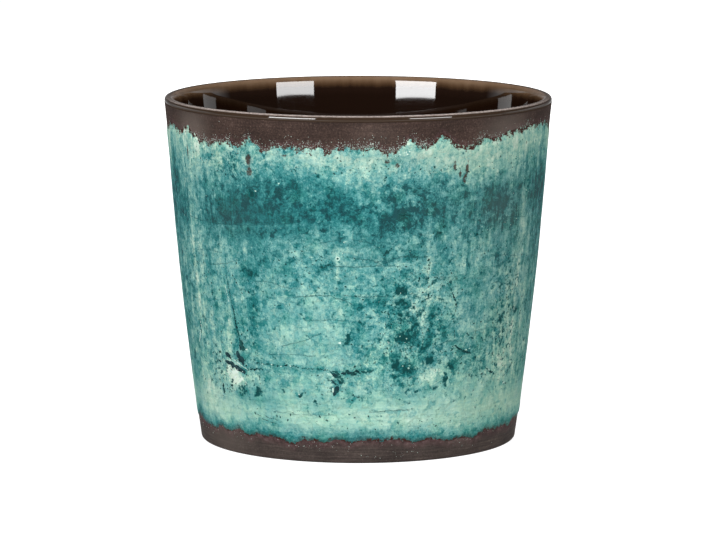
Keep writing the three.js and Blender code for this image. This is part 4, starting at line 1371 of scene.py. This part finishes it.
def turquoise_colour(tree, mm, fields, melt, freckles):
    """Mint to teal by the melt, greener in drifts, with chalk, dust and dark clear freckles."""
    pull, dark, pits = freckles
    body = add(tree, "ValToRGB", melt, stops=MELT_COLOURS)
    greens = add(tree, "ValToRGB", melt, stops=MELT_GREENS)
    drift = add(tree, "TexNoise", mm, *GREEN_DRIFT)
    drift = add(tree, "MapRange", drift, *GREEN_RANGE)
    hue = add(tree, "Math", drift, fields["green"], operation="ADD", use_clamp=True)
    body = add(tree, "Mix", hue, body, greens, data_type="RGBA")
    dry = add(tree, "MapRange", melt, *CHALK_RANGE)
    dry = add(tree, "Math", dry, fields["chalk"], operation="MULTIPLY", use_clamp=True)
    body = add(tree, "Mix", dry, body, linear("#B3CABA"), data_type="RGBA")
    grey = add(tree, "MapRange", melt, *DUST_RANGE)
    grey = add(tree, "Math", grey, fields["dust"], operation="MULTIPLY")
    body = add(tree, "Mix", grey, body, linear("#86988C"), data_type="RGBA")
    depth = add(tree, "MapRange", pull, *POOL_RANGE)
    pool = add(tree, "ValToRGB", depth, stops=POOL_COLOURS)
    body = add(tree, "Mix", dark, body, pool, data_type="RGBA")
    return add(tree, "Mix", pits, body, linear("#00403F"), data_type="RGBA")


print("the glaze goes from", MELT_COLOURS[0][1], "to", MELT_COLOURS[-1][1])

# %% Hairlines and bare edges
HAIR_SWAY = 1.2
HAIR_WIDTH = (0.08, 0.26, 1.0, 0.0)
HAIR_NEAR = (0.5, 1.2, 1.0, 0.0)
BARE_RANGE = (0.3, 0.7, 0, 0.9)
LOWER_PART = (20.0, 40.0, 1.0, 0.0)
EDGE_BITE = (0, 1, 8.0, 12.0)
EDGE_RANGE = (EDGE_FILM - 0.3, EDGE_FILM + 0.4, 1.0, 0.0)
THIN_EDGE = (EDGE_FILM, EDGE_FILM + 6.0, 0.4, 0.0)


def hairlines(tree, fields, sway):
    """A mask of thin lines that sway a little, where the distance to a line crosses zero."""
    side = add(tree, "Math", sway, HAIR_SWAY, fields["hair_side"], operation="MULTIPLY_ADD")
    side = add(tree, "Math", side, operation="ABSOLUTE")
    inside = add(tree, "MapRange", side, *HAIR_WIDTH)
    near = add(tree, "MapRange", fields["hair_gap"], *HAIR_NEAR)
    line = add(tree, "Math", inside, near, operation="MULTIPLY")
    return add(tree, "Math", line, fields["hair_weight"], operation="MULTIPLY")


def bare_clay(tree, mm, fields, sway, ragged):
    """A mask of the clay that shows in bare spots, along the ragged edges and through the thin lower edge."""
    bare = add(tree, "Math", fields["bare"], ragged, operation="MULTIPLY")
    bare = add(tree, "MapRange", bare, *BARE_RANGE)
    level = add(tree, "SeparateXYZ", mm).outputs["Z"]
    low = add(tree, "MapRange", level, *LOWER_PART)
    bite = add(tree, "MapRange", low, *EDGE_BITE)
    edge = add(tree, "Math", sway, bite, fields["from_edge"], operation="MULTIPLY_ADD")
    edge = add(tree, "MapRange", edge, *EDGE_RANGE)
    thin = add(tree, "MapRange", fields["from_edge"], *THIN_EDGE)
    thin = add(tree, "Math", thin, low, operation="MULTIPLY")
    bare = add(tree, "Math", bare, edge, operation="MAXIMUM")
    return add(tree, "Math", bare, thin, operation="MAXIMUM")


print("hairlines up to", 2 * HAIR_WIDTH[1], "mm wide")

# %% Material: mottled turquoise glaze
TOOTH = (1 / 2.2, 4.0, 0.8)
SWAY_RANGE = (0, 1, -1.0, 1.0)
RAGGED_RANGE = (0, 1, -1.2, 3.2)
BEND = 3.0
MATT_RANGE = (0.2, 0.9, 0.8, 0.6)
CRUST_RELIEF = 0.2
GRAIN_RISE = 2.0
CRUST_RISE = -0.8
BLOT_RISE = -0.7
LINE_RISE = -1.0


def mottled_turquoise_glaze():
    """A crazed satin copper glaze: mint crust in flakes, teal melt, clear freckles and dark hairlines."""
    material, tree, mm = new_material("mottled_turquoise_glaze")
    names = (*coat_fields, "stain")
    fields = {name: add(tree, "Attribute", attribute_name=name).outputs["Fac"] for name in names}
    tooth = add(tree, "TexNoise", mm, *TOOTH)
    sway = add(tree, "MapRange", tooth, *SWAY_RANGE)
    ragged = add(tree, "MapRange", tooth, *RAGGED_RANGE, clamp=False)
    bend = add(tree, "VectorMath", tooth.outputs["Color"], BEND, operation="SCALE")
    bent = add(tree, "VectorMath", mm, bend, operation="ADD")
    melt, crust, fine = mottled_melt(tree, mm, bent, fields)
    freckles = clear_freckles(tree, mm, fields)
    body = turquoise_colour(tree, mm, fields, melt, freckles)
    line = hairlines(tree, fields, sway)
    body = add(tree, "Mix", line, body, linear("#1C5A5C"), data_type="RGBA")
    bare = bare_clay(tree, mm, fields, sway, ragged)
    body = add(tree, "Mix", bare, body, linear("#3E2722"), data_type="RGBA")
    matt = add(tree, "MapRange", melt, *MATT_RANGE)
    height = add(tree, "Math", fine, GRAIN_RISE, operation="MULTIPLY")
    for part, rise in ((crust, CRUST_RISE), (freckles[1], BLOT_RISE), (line, LINE_RISE)):
        height = add(tree, "Math", part, rise, height, operation="MULTIPLY_ADD")
    relief = add(tree, "Bump", named={"Height": height, "Strength": 1.0, "Distance": CRUST_RELIEF / METRE})
    surface = add(tree, "BsdfPrincipled", named={
        "Base Color": body, "Roughness": matt, "IOR": 1.5, "Specular IOR Level": 0.15, "Normal": relief,
    })
    add(tree, "OutputMaterial", surface)
    return material


coat.data.materials.append(mottled_turquoise_glaze())
print("material:", coat.data.materials[0].name)

# %% [markdown]
# ## Glaze of the small marks
# Spray, cracks, chips and crumbs are glaze in other states: mint spray that dried on the clay, dark glass
# that ran into a crack, slate blue slip where a flake came off, and white crust. All are dull to the eye
# and too small for a pattern of their own, so each has a colour that drifts from one speck to the next.

# %% Materials: small marks
def small_marks(name, width, stops, roughness):
    """Specks of fired glaze: a dull colour that drifts from one speck to the next, over so many mm."""
    material, tree, mm = new_material(name)
    tone = add(tree, "TexNoise", mm, 1 / width, 2.0)
    body = add(tree, "ValToRGB", tone, stops=stops)
    surface = add(tree, "BsdfPrincipled", named={
        "Base Color": body, "Roughness": roughness, "IOR": 1.5, "Specular IOR Level": 0.1,
    })
    add(tree, "OutputMaterial", surface)
    return material


for piece, name, width, stops, roughness in [
    (spatter, "mint_glaze_spatter", 3.0, [(0.35, "#84938B"), (0.65, "#C2D0C6")], 0.6),
    (cracks, "dark_teal_glass", 4.0, [(0.35, "#042B2C"), (0.65, "#1D5552")], 0.5),
    (chips, "slate_blue_slip", 2.0, [(0.35, "#0C2A2D"), (0.65, "#22444A")], 0.6),
    (crumbs, "white_glaze_crust", 4.0, [(0.4, "#9CC9BC"), (0.6, "#D6E8DD")], 0.8),
]:
    piece.data.materials.append(small_marks(name, width, stops, roughness))
    print("material:", name)

# %% [markdown]
# ## What each mesh stands for
# The meshes above stand in for the imported solids at the same place. Nothing on the pot moves, so all of
# them ride on the one body, and the solids that the clay shell, the lining and the coat stand in for are
# hidden.

# %% Hang the meshes on the body and hide the solids they stand in for
for piece, node, slot in [
    (clay_shell, "clay_body", "fired_clay"),
    (lining, "lining_glaze", "brown_glaze"),
    (coat, "turquoise_glaze", "turquoise_glaze"),
]:
    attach(piece, "root")
    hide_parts(node)
for piece in (spatter, cracks, chips, crumbs):
    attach(piece, "root")
print("tied:", [piece.name for piece in (clay_shell, lining, coat, spatter, cracks, chips, crumbs)])

# %% [markdown]
# ## Studio
# A product photographer would stand the pot on a white sweep between two soft boxes. The floor is a pale
# disc that fades to plain white for the camera, and keeps the soft shadow of the pot. Mirror rays see the
# floor dimmer towards the back and the room dark above it, so that the lining shows mostly the lamps. These
# are two area lights on the camera's side, at the angles at which they mirror in the lining. A broad one
# above fills the shadows and a low one behind lights the far side. Both are hidden from mirror rays, so
# that they put no shine on the lip.

# %% Floor
FLOOR_RADIUS = 6.0
FLOOR_SIDES = 96
FLOOR_GLOW = (105.0, 300.0, 0.88, 1.0)
FLOOR_IN_MIRRORS = (60.0, 220.0, 0.8, 0.15)


def ray_kinds(tree):
    """Two masks: rays straight from the camera, and rays that come by way of a mirror or glass."""
    path = add(tree, "LightPath")
    glossy, through = path.outputs["Is Glossy Ray"], path.outputs["Is Transmission Ray"]
    return path.outputs["Is Camera Ray"], add(tree, "Math", glossy, through, operation="MAXIMUM")


def white_sweep():
    """Matt white paper that reads as plain white away from the pot."""
    material, tree, mm = new_material("matt_white_paper")
    reach = add(tree, "VectorMath", mm, operation="LENGTH").outputs["Value"]
    glow = add(tree, "MapRange", reach, *FLOOR_GLOW)
    shaded = add(tree, "SeparateXYZ", mm).outputs["Y"]
    shaded = add(tree, "MapRange", shaded, *FLOOR_IN_MIRRORS)
    camera_ray, mirror_ray = ray_kinds(tree)
    seen = add(tree, "Math", mirror_ray, shaded, operation="MULTIPLY")
    seen = add(tree, "Math", seen, camera_ray, operation="MAXIMUM")
    glow = add(tree, "Math", glow, seen, operation="MULTIPLY")
    surface = add(tree, "BsdfPrincipled", named={
        "Base Color": linear("#A0A0A0"), "Roughness": 0.9, "Specular IOR Level": 0.1,
        "Emission Color": linear("#FFFFFF"), "Emission Strength": glow,
    })
    add(tree, "OutputMaterial", surface)
    return material


turns = np.linspace(0, 2 * np.pi, FLOOR_SIDES, False)
rim = [(FLOOR_RADIUS * np.sin(turn), FLOOR_RADIUS * np.cos(turn), 0.0) for turn in turns]
paper = bpy.data.meshes.new("floor")
paper.from_pydata(rim, [], [list(range(FLOOR_SIDES))[::-1]])
paper.materials.append(white_sweep())
floor = bpy.data.objects.new("floor", paper)
bpy.context.scene.collection.objects.link(floor)
print("floor radius", FLOOR_RADIUS, "m")

# %% World
AMBIENT = 0.08
DARK_ROOM = 0.03
# What mirror rays see of the room, from the camera's side to the far side, and how high it reaches.
ROOM_TONES = [(0.0, "#000000"), (0.2, "#FFFFFF"), (0.6, "#FFFFFF"), (0.85, "#808080")]
ROOM_HEIGHT = (0.03, 0.12, 1.0, 0.0)

world = bpy.data.worlds.new("white_room")
world.use_nodes = True
bpy.context.scene.world = world
studio = world.node_tree
studio.nodes.clear()
camera_ray, mirror_ray = ray_kinds(studio)
toward = add(studio, "SeparateXYZ", add(studio, "TexCoord").outputs["Generated"])
tones = add(studio, "ValToRGB", toward.outputs["Y"], stops=ROOM_TONES)
low = add(studio, "MapRange", toward.outputs["Z"], *ROOM_HEIGHT)
mirrored = add(studio, "Math", tones, low, operation="MULTIPLY")
mirrored = add(studio, "Math", mirrored, DARK_ROOM, operation="MAXIMUM")
room = add(studio, "Mix", mirror_ray, AMBIENT, mirrored)
room = add(studio, "Math", room, camera_ray, operation="MAXIMUM")
room = add(studio, "Background", linear("#FFFFFF"), room)
add(studio, "OutputWorld", room)
print("ambient light", AMBIENT)

# %% Lamps
LAMP_DISTANCE = 1.8
# Each lamp is (name, angle from the front, angle above the pot's middle, width and height in degrees, roll,
# radiance, whether mirrors show it).
LAMPS = [
    ("left_softbox", -39, 16.3, 27.2, 14, 2, 15.4, True),
    ("right_softbox", 42.7, 14.15, 25.3, 9.5, -2.6, 11.6, True),
    ("overhead_softbox", 4, 52, 64, 44, 0, 3.4, False),
    ("back_softbox", 180, 12, 50, 20, 0, 7.0, False),
]
middle = Vector((0, 0, HEIGHT / 2 / METRE))
for name, side, lift, wide, tall, roll, radiance, in_mirrors in LAMPS:
    side, lift = np.radians(side), np.radians(lift)
    toward = Vector((np.sin(side) * np.cos(lift), -np.cos(side) * np.cos(lift), np.sin(lift)))
    light = bpy.data.lights.new(name, "AREA")
    light.shape = "RECTANGLE"
    light.size = 2 * LAMP_DISTANCE * np.tan(np.radians(wide / 2))
    light.size_y = 2 * LAMP_DISTANCE * np.tan(np.radians(tall / 2))
    light.energy = radiance * np.pi * light.size * light.size_y
    lamp = bpy.data.objects.new(name, light)
    lamp.location = middle + toward * LAMP_DISTANCE
    facing = (-toward).to_track_quat("-Z", "Y") @ Quaternion((0, 0, 1), np.radians(roll))
    lamp.rotation_euler = facing.to_euler()
    lamp.visible_camera = False
    lamp.visible_glossy = in_mirrors
    bpy.context.scene.collection.objects.link(lamp)
    print(name, round(light.energy, 1), "W")

# %% [markdown]
# ## Camera
# The picture was taken from a little above the rim with a long lens, so the wall shows almost no
# perspective. The distance, the height and the focal length were fitted to the rim and foot ellipses.

# %% Camera
CAMERA_DISTANCE = 2.13945
CAMERA_LIFT = 8.4204
CAMERA_AIM = Vector((-0.000085, 0, 0.08218))
SENSOR_WIDTH = 36.0
FOCAL_LENGTH = 217.97
view = bpy.data.cameras.new("camera")
view.sensor_width = SENSOR_WIDTH
view.lens = FOCAL_LENGTH
camera = bpy.data.objects.new("camera", view)
lift = np.radians(CAMERA_LIFT)
camera.location = CAMERA_AIM + CAMERA_DISTANCE * Vector((0, -np.cos(lift), np.sin(lift)))
camera.rotation_euler = (CAMERA_AIM - camera.location).to_track_quat("-Z", "Y").to_euler()
bpy.context.scene.collection.objects.link(camera)
bpy.context.scene.camera = camera
bpy.context.scene.view_settings.view_transform = "Standard"
print("camera", round(CAMERA_DISTANCE, 2), "m away")
